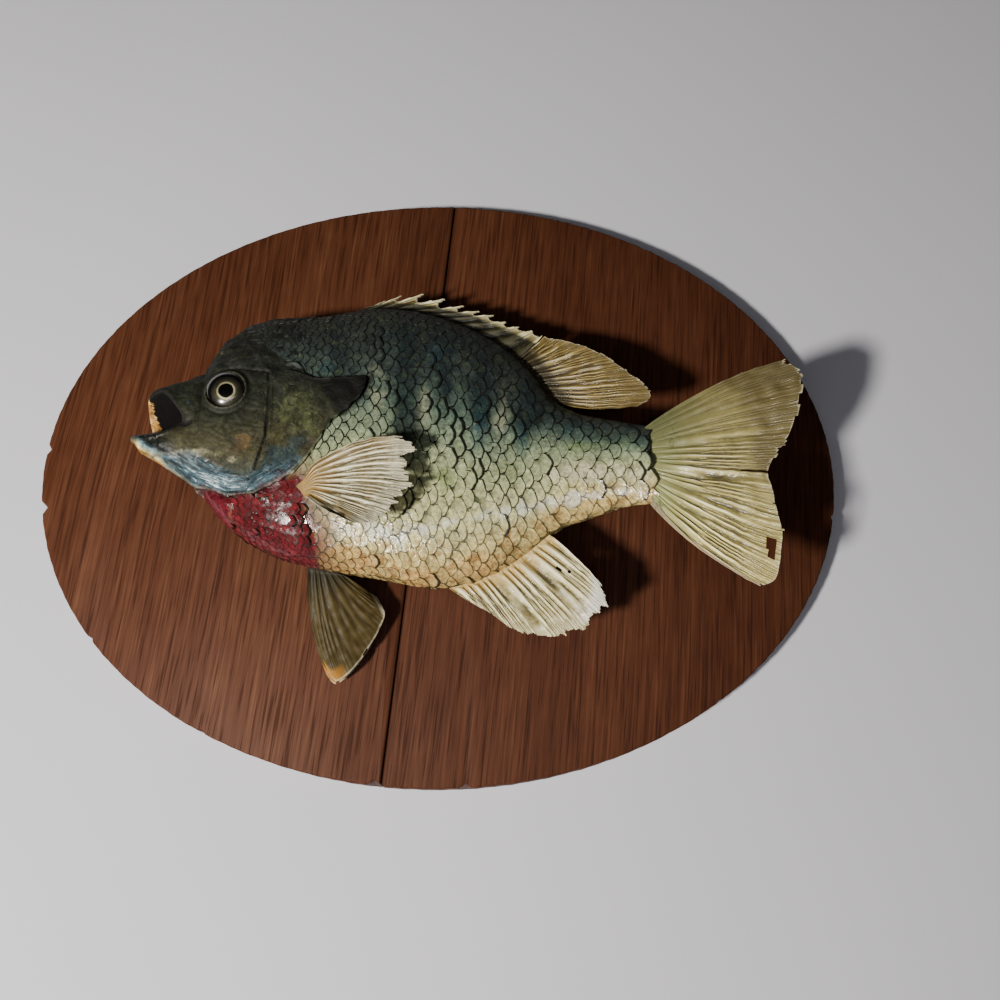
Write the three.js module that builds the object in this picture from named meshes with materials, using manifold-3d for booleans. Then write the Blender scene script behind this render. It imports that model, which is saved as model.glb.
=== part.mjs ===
// A bluegill mounted on an oval board of two planks, life size, in millimetres.
//
// Frame: the origin is the middle of the board's back face, the face that lies on the wall.
// +X runs along the fish toward its tail, +Z is up, and the fish stands out toward -Y.
//
// The fish is described in coordinates of its own: x along the board, z up, and n, the distance out
// of its mid plane. The mid plane bends, so that the head and the tail stand off the board.
// Whole body, gill covers and sockets are made first, then thin cuts part the flesh into its nodes.

import * as THREE from 'three';
import { mergeVertices } from 'three/addons/utils/BufferGeometryUtils.js';
import Module from 'manifold-3d';

const wasm = await Module();
wasm.setup();

// ---------- driving dimensions ----------

const GAP = 0.3; // clearance between neighbouring pieces

const BOARD = {
  halfLength: 141,
  halfHeight: 110,
  thickness: 9.5,
  edgeRound: 0.9,
  segments: 36,
  jointTop: 3.3, // x of the joint between the planks at the top of the board
  jointBottom: -17.6,
};

// The fish's profiles: the value at each x, joined by a smooth curve.
const BACK = [[-80, 24.5], [-75, 36.5], [-69, 43.5], [-60, 47.5], [-42, 50], [-20, 53.8], [4, 48.7],
  [22, 38.2], [32, 28.5], [39, 17.5], [47, 11.6], [57, 8.2], [70, 3.9]];
const BELLY = [[-80, -14.8], [-70, -27.2], [-58, -36], [-40, -41.6], [-20, -45], [4, -48],
  [20, -43.4], [32, -35.4], [40, -29.6], [50, -26.6], [60, -24], [70, -23.5]];
const HALF_WIDTH = [[-80, 10.2], [-66, 14], [-50, 17], [-30, 18.6], [-8, 18.4], [14, 16.4], [32, 12.4],
  [48, 8.6], [70, 4.6]];
const MID_HEIGHT = [[-105, 30.5], [-80, 23.5], [-50, 18.6], [-25, 17.6], [5, 17.6], [30, 20.2],
  [55, 27], [75, 34], [95, 41], [125, 51]];
const WIDEST_AT = 0.48; // height of the widest line, as a share of the body's depth
const ROUNDNESS = 0.92; // exponent of the section's half width
const SNOUT = -80; // x where the snout's rings begin
const TAIL_ROOT = 70; // x where the flesh ends
const SIDES = 36; // points round each ring

// The rim of the open mouth, from the middle of the upper lip over the near side to the chin and
// back over the far side, as x, z, n.
const MOUTH_RIM = [[-96, 15.4, 0], [-92.6, 16, 3.5], [-88.8, 11, 6.6], [-85.6, 4.4, 7.6],
  [-92.2, -0.2, 6.2], [-100.6, -0.9, 0], [-97.2, 0.8, -5], [-94.6, 3.2, -6.6], [-96, 9.5, -6.4],
  [-96.8, 13.8, -3.2]];
const MOUTH_END = { x: -79, z: 6, halfHeight: 5, halfWidth: 4 }; // the bottom of the mouth
const LIP = 1.1; // thickness of the lips outside and inside the rim

const EYE = { x: -72.4, z: 14.4, radius: 7.2, halfDepth: 4.4, sunk: 2, taper: 0.22 }; // taper: its turn forward

// ---------- curves and places ----------

// A smooth curve through [x, value] pairs: a cubic between neighbours, with averaged slopes.
function curveThrough(points) {
  const last = points.length - 1;
  const step = (i) => (points[i + 1][1] - points[i][1]) / (points[i + 1][0] - points[i][0]);
  const slopes = points.map((point, i) => {
    if (i === 0) return step(0);
    if (i === last) return step(last - 1);
    const before = point[0] - points[i - 1][0];
    const after = points[i + 1][0] - point[0];
    return (step(i - 1) * after + step(i) * before) / (before + after);
  });
  return (x) => {
    const q = THREE.MathUtils.clamp(x, points[0][0], points[last][0]);
    let i = 0;
    while (i < last - 1 && q > points[i + 1][0]) i += 1;
    const h = points[i + 1][0] - points[i][0];
    const t = (q - points[i][0]) / h;
    const rise = t * t * (3 - 2 * t);
    const bow = h * t * (1 - t) * (slopes[i] * (1 - t) - slopes[i + 1] * t);
    return points[i][1] + (points[i + 1][1] - points[i][1]) * rise + bow;
  };
}

const backLine = curveThrough(BACK);
const bellyLine = curveThrough(BELLY);
const halfWidth = curveThrough(HALF_WIDTH);
const midHeight = curveThrough(MID_HEIGHT);

// The point at x and z that stands `height` off the board's front face.
const onBoard = (x, z, height) => new THREE.Vector3(x, -(BOARD.thickness + height), z);

// The point at x and z, n out of the bent mid plane, kept off the board by `floor`.
function inFish(x, z, n, floor = GAP) {
  const slope = midHeight(x + 0.5) - midHeight(x - 0.5);
  const length = Math.hypot(1, slope);
  return onBoard(x - (n * slope) / length, z, Math.max(midHeight(x) + n / length, floor));
}

// A point of the body's section at x. The angle runs from the back over the near flank.
function sectionPoint(x, angle, swell, floor) {
  const top = backLine(x) + swell;
  const bottom = bellyLine(x) - swell;
  const widest = bottom + (top - bottom) * WIDEST_AT;
  const up = Math.cos(angle);
  const out = Math.sin(angle);
  const z = widest + (up > 0 ? top - widest : widest - bottom) * up;
  const n = (halfWidth(x) + swell) * Math.sign(out) * Math.abs(out) ** ROUNDNESS;
  return inFish(x, z, n, floor);
}

const angles = Array.from({ length: SIDES }, (_, i) => (2 * Math.PI * i) / SIDES);
const sectionRing = (x, swell = 0, floor = GAP) => angles.map((a) => sectionPoint(x, a, swell, floor));
const evenly = (from, to, count) =>
  Array.from({ length: count }, (_, i) => from + ((to - from) * i) / (count - 1));

const STATIONS = evenly(SNOUT, TAIL_ROOT, 31); // x of the body's rings

// The height at x of a profile as the body's rings have it, straight from ring to ring.
function onRings(line, x) {
  const spacing = STATIONS[1] - STATIONS[0];
  const i = THREE.MathUtils.clamp(Math.floor((x - SNOUT) / spacing), 0, STATIONS.length - 2);
  const share = (x - STATIONS[i]) / spacing;
  return THREE.MathUtils.lerp(line(STATIONS[i]), line(STATIONS[i + 1]), share);
}

// ---------- closed meshes ----------

// The geometry of points and triangles, turned so that its faces point out.
function closedGeometry(points, triangles) {
  let volume = 0;
  for (let i = 0; i < triangles.length; i += 3) {
    const [a, b, c] = [points[triangles[i]], points[triangles[i + 1]], points[triangles[i + 2]]];
    volume += a.dot(b.clone().cross(c));
  }
  const geometry = new THREE.BufferGeometry().setFromPoints(points);
  geometry.setIndex(volume > 0 ? triangles : triangles.slice().reverse());
  return geometry;
}

// A closed skin over rings of equally many points, with a fan over each end.
function loft(rings) {
  const sides = rings[0].length;
  const points = rings.flat();
  const triangles = [];
  for (let r = 0; r + 1 < rings.length; r += 1) {
    for (let s = 0; s < sides; s += 1) {
      const a = r * sides + s;
      const b = r * sides + ((s + 1) % sides);
      triangles.push(a, b, a + sides, b, b + sides, a + sides);
    }
  }
  [0, rings.length - 1].forEach((r) => {
    const middle = points.length;
    const centre = new THREE.Vector3();
    rings[r].forEach((point) => centre.addScaledVector(point, 1 / sides));
    points.push(centre);
    for (let s = 0; s < sides; s += 1) {
      const a = r * sides + s;
      const b = r * sides + ((s + 1) % sides);
      triangles.push(...(r === 0 ? [middle, b, a] : [middle, a, b]));
    }
  });
  return closedGeometry(points, triangles);
}

// A plate between two grids of points: rows of columns, joined round their edge.
function plate(front, back) {
  const rows = front.length;
  const columns = front[0].length;
  const points = [...front.flat(), ...back.flat()];
  const behind = rows * columns;
  const triangles = [];
  const quad = (a, b, c, d) => triangles.push(a, b, c, a, c, d);
  for (let r = 0; r + 1 < rows; r += 1) {
    for (let c = 0; c + 1 < columns; c += 1) {
      const a = r * columns + c;
      quad(a, a + 1, a + columns + 1, a + columns);
      quad(behind + a, behind + a + columns, behind + a + columns + 1, behind + a + 1);
    }
  }
  const edge = [];
  for (let c = 0; c < columns; c += 1) edge.push(c);
  for (let r = 1; r < rows; r += 1) edge.push(r * columns + columns - 1);
  for (let c = columns - 2; c >= 0; c -= 1) edge.push((rows - 1) * columns + c);
  for (let r = rows - 2; r > 0; r -= 1) edge.push(r * columns);
  edge.forEach((a, i) => {
    const b = edge[(i + 1) % edge.length];
    quad(b, a, behind + a, behind + b);
  });
  return closedGeometry(points, triangles);
}

// ---------- cutting ----------

function solid(geometry) {
  const bare = geometry.clone();
  bare.deleteAttribute('normal');
  bare.deleteAttribute('uv');
  const merged = mergeVertices(bare);
  return new wasm.Manifold(new wasm.Mesh({
    numProp: 3,
    vertProperties: merged.attributes.position.array,
    triVerts: new Uint32Array(merged.index.array),
  }));
}

// The geometry of the largest body in a cut solid, without the crumbs that a cut can leave.
function geometryOf(cut) {
  const bodies = cut.decompose().sort((a, b) => b.volume() - a.volume());
  const mesh = bodies[0].simplify(0.04).getMesh();
  const geometry = new THREE.BufferGeometry();
  geometry.setAttribute('position', new THREE.BufferAttribute(new Float32Array(mesh.vertProperties), 3));
  geometry.setIndex(new THREE.BufferAttribute(new Uint32Array(mesh.triVerts), 1));
  return geometry;
}

// A prism along Y through the whole fish over an outline of [x, z] points.
const PRISM = { front: -110, back: 5 };
function prism(outline) {
  const shape = new THREE.Shape(outline.map(([x, z]) => new THREE.Vector2(x, z)));
  const options = { depth: PRISM.back - PRISM.front, bevelEnabled: false };
  const geometry = new THREE.ExtrudeGeometry(shape, options);
  geometry.rotateX(Math.PI / 2);
  geometry.translate(0, PRISM.back, 0);
  return solid(geometry);
}

// The outline of a strip of the given width along a line of [x, z] points.
function strip(line, width) {
  const sides = [[], []];
  line.forEach(([x, z], i) => {
    const before = line[Math.max(i - 1, 0)];
    const after = line[Math.min(i + 1, line.length - 1)];
    const along = new THREE.Vector2(after[0] - before[0], after[1] - before[1]).normalize();
    sides[0].push([x - (along.y * width) / 2, z + (along.x * width) / 2]);
    sides[1].unshift([x + (along.y * width) / 2, z - (along.x * width) / 2]);
  });
  return [...sides[0], ...sides[1]];
}

// ---------- the group and its materials ----------

const group = new THREE.Group();
group.name = 'mounted_bluegill';

const finish = (color, roughness) => new THREE.MeshStandardMaterial({ color, roughness, metalness: 0 });
const LOOKS = {
  wood: finish('#5a2b1a', 0.42),
  head: finish('#34372a', 0.3),
  jaw: finish('#5d7f86', 0.28),
  gill: finish('#5c5f35', 0.3),
  throat: finish('#7c1f2b', 0.22),
  flank: finish('#6f7c62', 0.3),
  fin: finish('#b5a873', 0.38),
  darkFin: finish('#3f3d22', 0.4),
  eye: finish('#0d0c09', 0.05),
};

function addNode(name, geometry, look) {
  geometry.computeVertexNormals();
  const mesh = new THREE.Mesh(geometry, LOOKS[look].clone());
  mesh.name = name;
  group.add(mesh);
}

// ---------- the board ----------

// Chips broken out of the board's rim, by the angle round the oval and the depth of the bite.
const CHIPS = [{ angle: 176.5, bite: 1.6 }, { angle: 188, bite: 2.2 }, { angle: 262, bite: 1.8 },
  { angle: 274, bite: 1.4 }];

function board() {
  const round = BOARD.edgeRound;
  const oval = new THREE.Shape();
  oval.absellipse(0, 0, BOARD.halfLength - round, BOARD.halfHeight - round, 0, 2 * Math.PI);
  const geometry = new THREE.ExtrudeGeometry(oval, {
    depth: BOARD.thickness - 2 * round,
    bevelEnabled: true,
    bevelThickness: round,
    bevelSize: round,
    bevelSegments: 2,
    curveSegments: BOARD.segments,
  });
  geometry.rotateX(Math.PI / 2);
  geometry.translate(0, -round, 0);
  let wood = solid(geometry);
  CHIPS.forEach(({ angle, bite }) => {
    const turn = THREE.MathUtils.degToRad(angle);
    const chip = new THREE.IcosahedronGeometry(1, 0);
    chip.scale(bite, BOARD.thickness * 0.4, bite * 2.2);
    chip.rotateY(-turn);
    chip.translate(
      BOARD.halfLength * Math.cos(turn), -BOARD.thickness * 0.8, BOARD.halfHeight * Math.sin(turn));
    wood = wood.subtract(solid(chip));
  });
  return wood;
}

function addPlanks() {
  const wood = board();
  const reach = 2 * BOARD.halfLength;
  const slope = (BOARD.jointTop - BOARD.jointBottom) / (2 * BOARD.halfHeight);
  const joint = (z) => BOARD.jointTop + slope * (z - BOARD.halfHeight);
  const [low, high] = [-reach, reach];
  const left = [[low, low], [joint(low) - GAP / 2, low], [joint(high) - GAP / 2, high], [low, high]];
  const right = [[high, high], [joint(high) + GAP / 2, high], [joint(low) + GAP / 2, low], [high, low]];
  addNode('plank_left', geometryOf(wood.intersect(prism(left))), 'wood');
  addNode('plank_right', geometryOf(wood.intersect(prism(right))), 'wood');
}

// ---------- the body ----------

// The rim of the mouth as one closed smooth curve in x, z, n.
const rimCurve = new THREE.CatmullRomCurve3(
  MOUTH_RIM.map(([x, z, n]) => new THREE.Vector3(x, z, n)), true, 'catmullrom', 0.5);
const rimMiddle = MOUTH_RIM.reduce(
  (sum, [x, z, n]) => sum.add(new THREE.Vector3(x, z, n).divideScalar(MOUTH_RIM.length)),
  new THREE.Vector3());

// The rim's ring, moved outward from the mouth's middle by `out` and back along the fish by `inward`.
function rimRing(out, inward) {
  return angles.map((angle) => {
    const point = rimCurve.getPoint(angle / (2 * Math.PI));
    const away = point.clone().sub(rimMiddle).setX(0).normalize();
    return point.addScaledVector(away, out).setX(point.x + inward);
  });
}

const placeRing = (ring) => ring.map((p) => inFish(p.x, p.y, p.z));
const between = (ringA, ringB, share) => ringA.map((point, i) => point.clone().lerp(ringB[i], share));

// Rings from the bottom of the mouth out to the lips.
function mouthRings() {
  const end = angles.map((angle) => new THREE.Vector3(
    MOUTH_END.x, MOUTH_END.z + MOUTH_END.halfHeight * Math.cos(angle),
    MOUTH_END.halfWidth * Math.sin(angle)));
  const inside = rimRing(-LIP, 1.2);
  return [placeRing(end), placeRing(between(end, inside, 0.5)), placeRing(inside)];
}

// Rings over the snout, from the rim of the mouth to the first ring of the head.
function snoutRings() {
  const lips = placeRing(rimRing(LIP, 0.6));
  const base = sectionRing(SNOUT);
  return [placeRing(rimRing(0.2, 0)), lips, ...[0.25, 0.5, 0.75].map((t) => between(lips, base, t))];
}

function wholeBody() {
  return solid(loft([...mouthRings(), ...snoutRings(), ...STATIONS.map((x) => sectionRing(x))]));
}

// A stretch of the body grown or shrunk by `swell`, for the gill covers.
const GILL_REACH = [-78, -20];
const bodyStretch = (swell, floor) =>
  solid(loft(evenly(...GILL_REACH, 14).map((x) => sectionRing(x, swell, floor))));

// The gill cover's outline from the top of the cheek's crease, over the ear flap and down its free
// rear edge, then forward along the lower margin and up the crease.
const GILL_OUTLINE = [[-56, 20.5], [-50, 21.6], [-45, 20.6], [-40, 18.6], [-30, 19], [-24, 18.8],
  [-24.4, 13.6], [-26.8, 10], [-30.6, 6], [-34, 3], [-38.5, -4.5], [-43, -11.5], [-47.5, -15.6],
  [-54, -18.6], [-61, -19.8], [-63.5, -17.2], [-58.6, -12.6], [-55.4, -5], [-54.4, 4], [-54.8, 13]];
const GILL = { proud: 0.9, thickness: 3.2, clearance: GAP };

// An outline with every side moved out by `by`; its points run clockwise round it.
function grownOutline(outline, by) {
  return outline.map(([x, z], i) => {
    const [beforeX, beforeZ] = outline.at(i - 1);
    const [afterX, afterZ] = outline[(i + 1) % outline.length];
    const into = new THREE.Vector2(x - beforeX, z - beforeZ).normalize();
    const out = new THREE.Vector2(afterX - x, afterZ - z).normalize();
    const away = new THREE.Vector2(-(into.y + out.y), into.x + out.x);
    away.setLength(by / Math.sqrt((1 + into.dot(out)) / 2));
    return [x + away.x, z + away.y];
  });
}

function gillCovers() {
  const inner = GILL.proud - GILL.thickness;
  const shell = bodyStretch(GILL.proud, GAP).subtract(bodyStretch(inner, -99));
  return shell.intersect(prism(GILL_OUTLINE));
}

function gillHollows() {
  const inner = GILL.proud - GILL.thickness - GILL.clearance;
  const shell = bodyStretch(GILL.proud + 4, -99).subtract(bodyStretch(inner, -99));
  return shell.intersect(prism(grownOutline(GILL_OUTLINE, GILL.clearance)));
}

// ---------- the eyes ----------

function eyeBall(side, grow) {
  const ball = new THREE.SphereGeometry(1, 18, 8);
  ball.rotateX(Math.PI / 2);
  ball.scale(EYE.radius + grow, EYE.halfDepth + grow, EYE.radius + grow);
  const slope = midHeight(EYE.x + 0.5) - midHeight(EYE.x - 0.5);
  ball.rotateZ(-Math.atan(slope) - side * EYE.taper);
  const surface = 0.965 * halfWidth(EYE.x);
  const centre = inFish(EYE.x, EYE.z, side * (surface - EYE.sunk));
  ball.translate(centre.x, centre.y, centre.z);
  return ball;
}

// ---------- parting the flesh ----------

// The cuts, as lines of [x, z] points. They share their ends with the outlines of the regions.
const FAR = 130; // well outside the fish
const JAW_CUT = [[-FAR, 2.2], [-96, 3.2], [-83.6, 3.6], [-76, -4], [-71, -14], [-72, -FAR]];
const LIP_CUT = [[-83.6, 3.6], [-79.8, 5.4], [-83, 11], [-88.6, 18], [-90, FAR]];
const GILL_CUT = [[-71.6, -19.4], [-61.5, -20.8], [-53.6, -19.6], [-46.8, -16.4], [-42.2, -11.6]];
const NAPE_CUT = [[-42.2, -11.6], [-46, 18], [-50, 40], [-52, FAR]];
const BREAST_CUT = [[-42.2, -11.6], [-37, -26], [-31, -FAR]];
const TRUNK_CUT = [[1, -FAR], [3, FAR]];
const STALK_CUT = [[40, -FAR], [42, FAR]];

const FLESH = [
  { name: 'head', look: 'head', outline: [...JAW_CUT.slice(2, 5), ...GILL_CUT, ...NAPE_CUT.slice(1),
    ...LIP_CUT.slice(1).reverse()] },
  { name: 'jaw_upper', look: 'head', outline: [...JAW_CUT.slice(0, 3), ...LIP_CUT.slice(1), [-FAR, FAR]] },
  { name: 'jaw_lower', look: 'jaw', outline: [...JAW_CUT, [-FAR, -FAR]] },
  { name: 'throat', look: 'throat', outline: [GILL_CUT[0], ...GILL_CUT.slice(1),
    ...BREAST_CUT.slice(1), [-72, -FAR]] },
  { name: 'trunk_front', look: 'flank', outline: [...BREAST_CUT.slice().reverse(), ...NAPE_CUT.slice(1),
    TRUNK_CUT[1], TRUNK_CUT[0]] },
  { name: 'trunk_rear', look: 'flank', outline: [TRUNK_CUT[0], TRUNK_CUT[1], STALK_CUT[1], STALK_CUT[0]] },
  { name: 'tail_stalk', look: 'flank', outline: [STALK_CUT[0], STALK_CUT[1], [FAR, FAR], [FAR, -FAR]] },
];

function addFlesh() {
  let flesh = wholeBody().subtract(gillHollows());
  [1, -1].forEach((side) => {
    flesh = flesh.subtract(solid(eyeBall(side, GAP)));
  });
  [JAW_CUT, LIP_CUT, GILL_CUT, NAPE_CUT, BREAST_CUT, TRUNK_CUT, STALK_CUT].forEach((line) => {
    flesh = flesh.subtract(prism(strip(line, GAP)));
  });
  FLESH.forEach(({ name, look, outline }) => {
    addNode(name, geometryOf(flesh.intersect(prism(outline))), look);
  });
}

function addGillCovers() {
  const covers = gillCovers();
  const middle = -(BOARD.thickness + midHeight(-45));
  const slab = (from, to) => {
    const box = new THREE.BoxGeometry(4 * FAR, Math.abs(to - from), 4 * FAR);
    box.translate(0, (from + to) / 2, 0);
    return solid(box);
  };
  addNode('gill_cover_near', geometryOf(covers.intersect(slab(-FAR, middle))), 'gill');
  addNode('gill_cover_far', geometryOf(covers.intersect(slab(middle, FAR))), 'gill');
}

// ---------- the fins ----------

// A smooth curve through points [x, z] as a function of 0 to 1, evenly by the points.
function outlineThrough(points) {
  const curve = new THREE.SplineCurve(points.map(([x, z]) => new THREE.Vector2(x, z)));
  return (share) => curve.getPoint(share);
}

// A fin's plate. A ray runs from base(share) to tip(share), bowed sideways by bow(share) at its
// middle; height(x, z, t) is how far the fin's middle stands off the board, t from base to tip.
// The skin between two rays stops short of their tips by `fringe`, a share of their length.
function finPlate({
  base, tip, bow = () => 0, height, rays, steps, thickness, ridge = 0.12, fringe = 0,
}) {
  const front = [];
  const back = [];
  for (let r = 0; r <= rays; r += 1) {
    const share = r / rays;
    const from = base(share);
    const to = tip(share).lerp(from, r % 2 ? fringe : 0);
    const across = new THREE.Vector2(-(to.y - from.y), to.x - from.x).normalize();
    front.push([]);
    back.push([]);
    for (let s = 0; s <= steps; s += 1) {
      const t = s / steps;
      const point = from.clone().lerp(to, t).addScaledVector(across, 4 * t * (1 - t) * bow(share));
      const middle = height(point.x, point.y, t);
      const half = THREE.MathUtils.lerp(thickness[0], thickness[1], t) / 2 + (r % 2 ? 0 : ridge);
      front[r].push(onBoard(point.x, point.y, middle + half));
      back[r].push(onBoard(point.x, point.y, middle - half));
    }
  }
  return plate(front, back);
}

const inMidPlane = (x) => midHeight(x);
const CLEAR = GAP + 0.15; // the fins' roots stand this far off the flesh

// Spines with the skin between them: every second ray of the plate ends in a point.
const SPINES = 10;
function addSpinyDorsal() {
  const tip = outlineThrough([[-20.4, 57.6], [-13.3, 59.8], [-3.4, 60], [6.1, 56.4], [12.9, 53.2],
    [19.2, 51], [25, 47], [30, 45.2], [34.5, 42.6]]);
  const base = (share) => {
    const x = THREE.MathUtils.lerp(-25, 26, share);
    return new THREE.Vector2(x, onRings(backLine, x) + CLEAR);
  };
  addNode('fin_dorsal_spiny', finPlate({
    base, tip, height: inMidPlane, rays: 2 * SPINES, steps: 3, thickness: [1.6, 0.8], ridge: 0.2,
    fringe: 0.42,
  }), 'fin');
}

function addSoftDorsal() {
  const tip = outlineThrough([[36.2, 41.8], [45, 38.6], [54, 33.6], [62, 26.6], [68.4, 19.4],
    [71, 14.2], [66.5, 11.2]]);
  const base = (share) => {
    const x = THREE.MathUtils.lerp(27.4, 41, share);
    return new THREE.Vector2(x, onRings(backLine, x) + CLEAR);
  };
  addNode('fin_dorsal_soft', finPlate({
    base, tip, bow: (share) => -1.2 * share * share, height: inMidPlane, rays: 14, steps: 5,
    thickness: [1.6, 0.7], fringe: 0.015,
  }), 'fin');
}

function addAnalFin() {
  const tip = outlineThrough([[9.5, -51.6], [17.5, -56.4], [26.5, -62.8], [35, -65.2], [43, -64.6],
    [49.5, -62], [55, -56], [53.2, -49.6]]);
  const base = (share) => {
    const x = THREE.MathUtils.lerp(4.5, 37.4, share);
    return new THREE.Vector2(x, onRings(bellyLine, x) - CLEAR);
  };
  addNode('fin_anal', finPlate({
    base, tip, bow: (share) => 0.8 * share, height: inMidPlane, rays: 14, steps: 5, thickness: [1.6, 0.7],
    fringe: 0.03,
  }), 'fin');
}

function addTailFin() {
  const tip = outlineThrough([[112, 21.2], [117.4, 15.6], [116.2, 7], [112.6, -4.4], [107.5, -10.6],
    [104.2, -17], [105.6, -25], [106.8, -35.6], [105.8, -45], [103.8, -51.4], [99.6, -53]]);
  const base = (share) => new THREE.Vector2(
    TAIL_ROOT + CLEAR + 0.2 * Math.sin(Math.PI * share), THREE.MathUtils.lerp(4.2, -24.4, share));
  const bow = curveThrough([[0, 3.8], [0.25, 1.4], [0.5, 0], [0.75, -1], [1, -2.2]]);
  addNode('fin_tail', finPlate({
    base, tip, bow, height: inMidPlane, rays: 24, steps: 6, thickness: [3, 0.8], ridge: 0.18,
    fringe: 0.02,
  }), 'fin');
}

// Both pelvic fins root on the belly's far side of the mid line and lean back to the board.
function addPelvicFins() {
  const outline = [[-35.4, -73.4], [-32.4, -76.4], [-28.1, -73.5], [-23.4, -67.1], [-18.7, -58.6],
    [-17.5, -53.8], [-20.2, -48.6]];
  const fins = [{ name: 'fin_pelvic_near', shift: 0, off: 0, look: 'darkFin' },
    { name: 'fin_pelvic_far', shift: 1.3, off: -3.2, look: 'fin' }];
  fins.forEach(({ name, shift, off, look }) => {
    const tip = outlineThrough(outline.map(([x, z]) => [x + shift, z + shift * 0.6]));
    const base = (share) => {
      const x = THREE.MathUtils.lerp(-42, -30, share) + shift;
      return new THREE.Vector2(x, onRings(bellyLine, x) - CLEAR);
    };
    const height = (x, z, t) => THREE.MathUtils.lerp(16.5, 6.5, t) + off;
    addNode(name, finPlate({
      base, tip, bow: (share) => -2 * (1 - share), height, rays: 8, steps: 5, thickness: [1.4, 0.7],
      fringe: 0.015,
    }), look);
  });
}

function addPectoralFins() {
  const nearTip = outlineThrough([[-9, -6.8], [-4.4, -9.6], [-5.6, -16], [-5.8, -22.4], [-9.6, -27],
    [-12.4, -32], [-17, -35], [-23, -35], [-29.4, -32]]);
  addNode('fin_pectoral_near', finPlate({
    base: (share) => new THREE.Vector2(-42.6 + 1.2 * share, THREE.MathUtils.lerp(-16.6, -22.6, share)),
    tip: nearTip, bow: curveThrough([[0, 4.2], [0.3, 1.6], [0.6, 0.2], [1, -0.8]]),
    height: (x, z, t) => 37 + 9 * t ** 0.8, rays: 14, steps: 5, thickness: [1.6, 0.7], fringe: 0.05,
  }), 'fin');
  // The far fin lies folded back along the flank, between it and the board.
  const flank = (x, z) => {
    const widest = bellyLine(x) + (backLine(x) - bellyLine(x)) * WIDEST_AT;
    const down = THREE.MathUtils.clamp((widest - z) / (widest - bellyLine(x)), 0, 1);
    return midHeight(x) - halfWidth(x) * Math.sqrt(1 - down * down) ** ROUNDNESS;
  };
  addNode('fin_pectoral_far', finPlate({
    base: (share) => new THREE.Vector2(-40, THREE.MathUtils.lerp(-26.5, -31.5, share)),
    tip: outlineThrough([[-8, -27.5], [-6, -31], [-9, -35], [-15, -37.6]]),
    height: (x, z) => flank(x, z) - 1.4, rays: 6, steps: 5, thickness: [0.9, 0.6], ridge: 0.05,
  }), 'fin');
}

// ---------- assembly ----------

addPlanks();
addFlesh();
addGillCovers();
addNode('eye_near', eyeBall(1, 0), 'eye');
addNode('eye_far', eyeBall(-1, 0), 'eye');
addSpinyDorsal();
addSoftDorsal();
addAnalFin();
addTailFin();
addPelvicFins();
addPectoralFins();

export default group;
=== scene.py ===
# %% [markdown]
# # A mounted bluegill
# A trophy fish is its own skin, dried hard over a filling, painted and varnished, and fixed to a board.
# The frame holds its structure. Here every visible surface gets its shape and finish: one skin over the
# flesh, scales as thin plates over the skin, pleated fins, glass eyes and a board of stained wood.
# The frame is in metres: the origin is the middle of the board's back, +X runs to the tail, +Z is up and
# the fish stands out toward -Y. Shapes are worked out in millimetres, as the fish was measured, and each
# mesh turns them to metres once.

# %% Loading the frame
import math

import bpy
import numpy as np
from mathutils import Matrix, Vector


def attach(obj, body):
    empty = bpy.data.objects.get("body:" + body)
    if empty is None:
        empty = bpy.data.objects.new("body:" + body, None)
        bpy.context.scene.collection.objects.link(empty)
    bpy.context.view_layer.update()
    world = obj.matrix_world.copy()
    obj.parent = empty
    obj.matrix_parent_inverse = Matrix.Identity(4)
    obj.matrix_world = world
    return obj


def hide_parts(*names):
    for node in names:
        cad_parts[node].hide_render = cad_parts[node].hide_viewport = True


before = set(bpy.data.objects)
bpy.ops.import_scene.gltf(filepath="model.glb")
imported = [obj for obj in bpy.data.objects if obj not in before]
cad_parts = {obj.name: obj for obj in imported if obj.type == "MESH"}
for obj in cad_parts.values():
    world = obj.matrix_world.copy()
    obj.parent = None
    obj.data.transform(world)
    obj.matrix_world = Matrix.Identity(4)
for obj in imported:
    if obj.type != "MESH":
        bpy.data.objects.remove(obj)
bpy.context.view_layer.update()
MM = 0.001

# %% [markdown]
# ## Camera
# The eye is close in front of the fish and a little below it, so the board narrows toward the top. A lens
# as long as the sensor is wide gives the same closeness.

# %% Camera
CAMERA_AT = (14.8, -344.8, -125)
CAMERA_AIM = (21, -9.5, -11.5)


def aim(thing, at, target):
    """Puts a camera or lamp at a place, turned to look at a target, both in millimetres."""
    thing.location = Vector(at) * MM
    thing.rotation_euler = (Vector(target) - Vector(at)).to_track_quat("-Z", "Y").to_euler()


lens = bpy.data.cameras.new("camera")
lens.lens = lens.sensor_width = 36
lens.clip_start = 0.01
camera = bpy.data.objects.new("camera", lens)
bpy.context.collection.objects.link(camera)
aim(camera, CAMERA_AT, CAMERA_AIM)
bpy.context.scene.camera = camera
print("camera", CAMERA_AT, "mm")

# %% [markdown]
# ## Curves and outlines
# A fish's shape is a few profiles: its back, its belly, its width and how far its middle stands off the
# board. Each is a smooth curve through some measured points, the same as in the frame's own solids, so
# that what is made here lies where they do.

# %% Smooth curves through points


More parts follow.
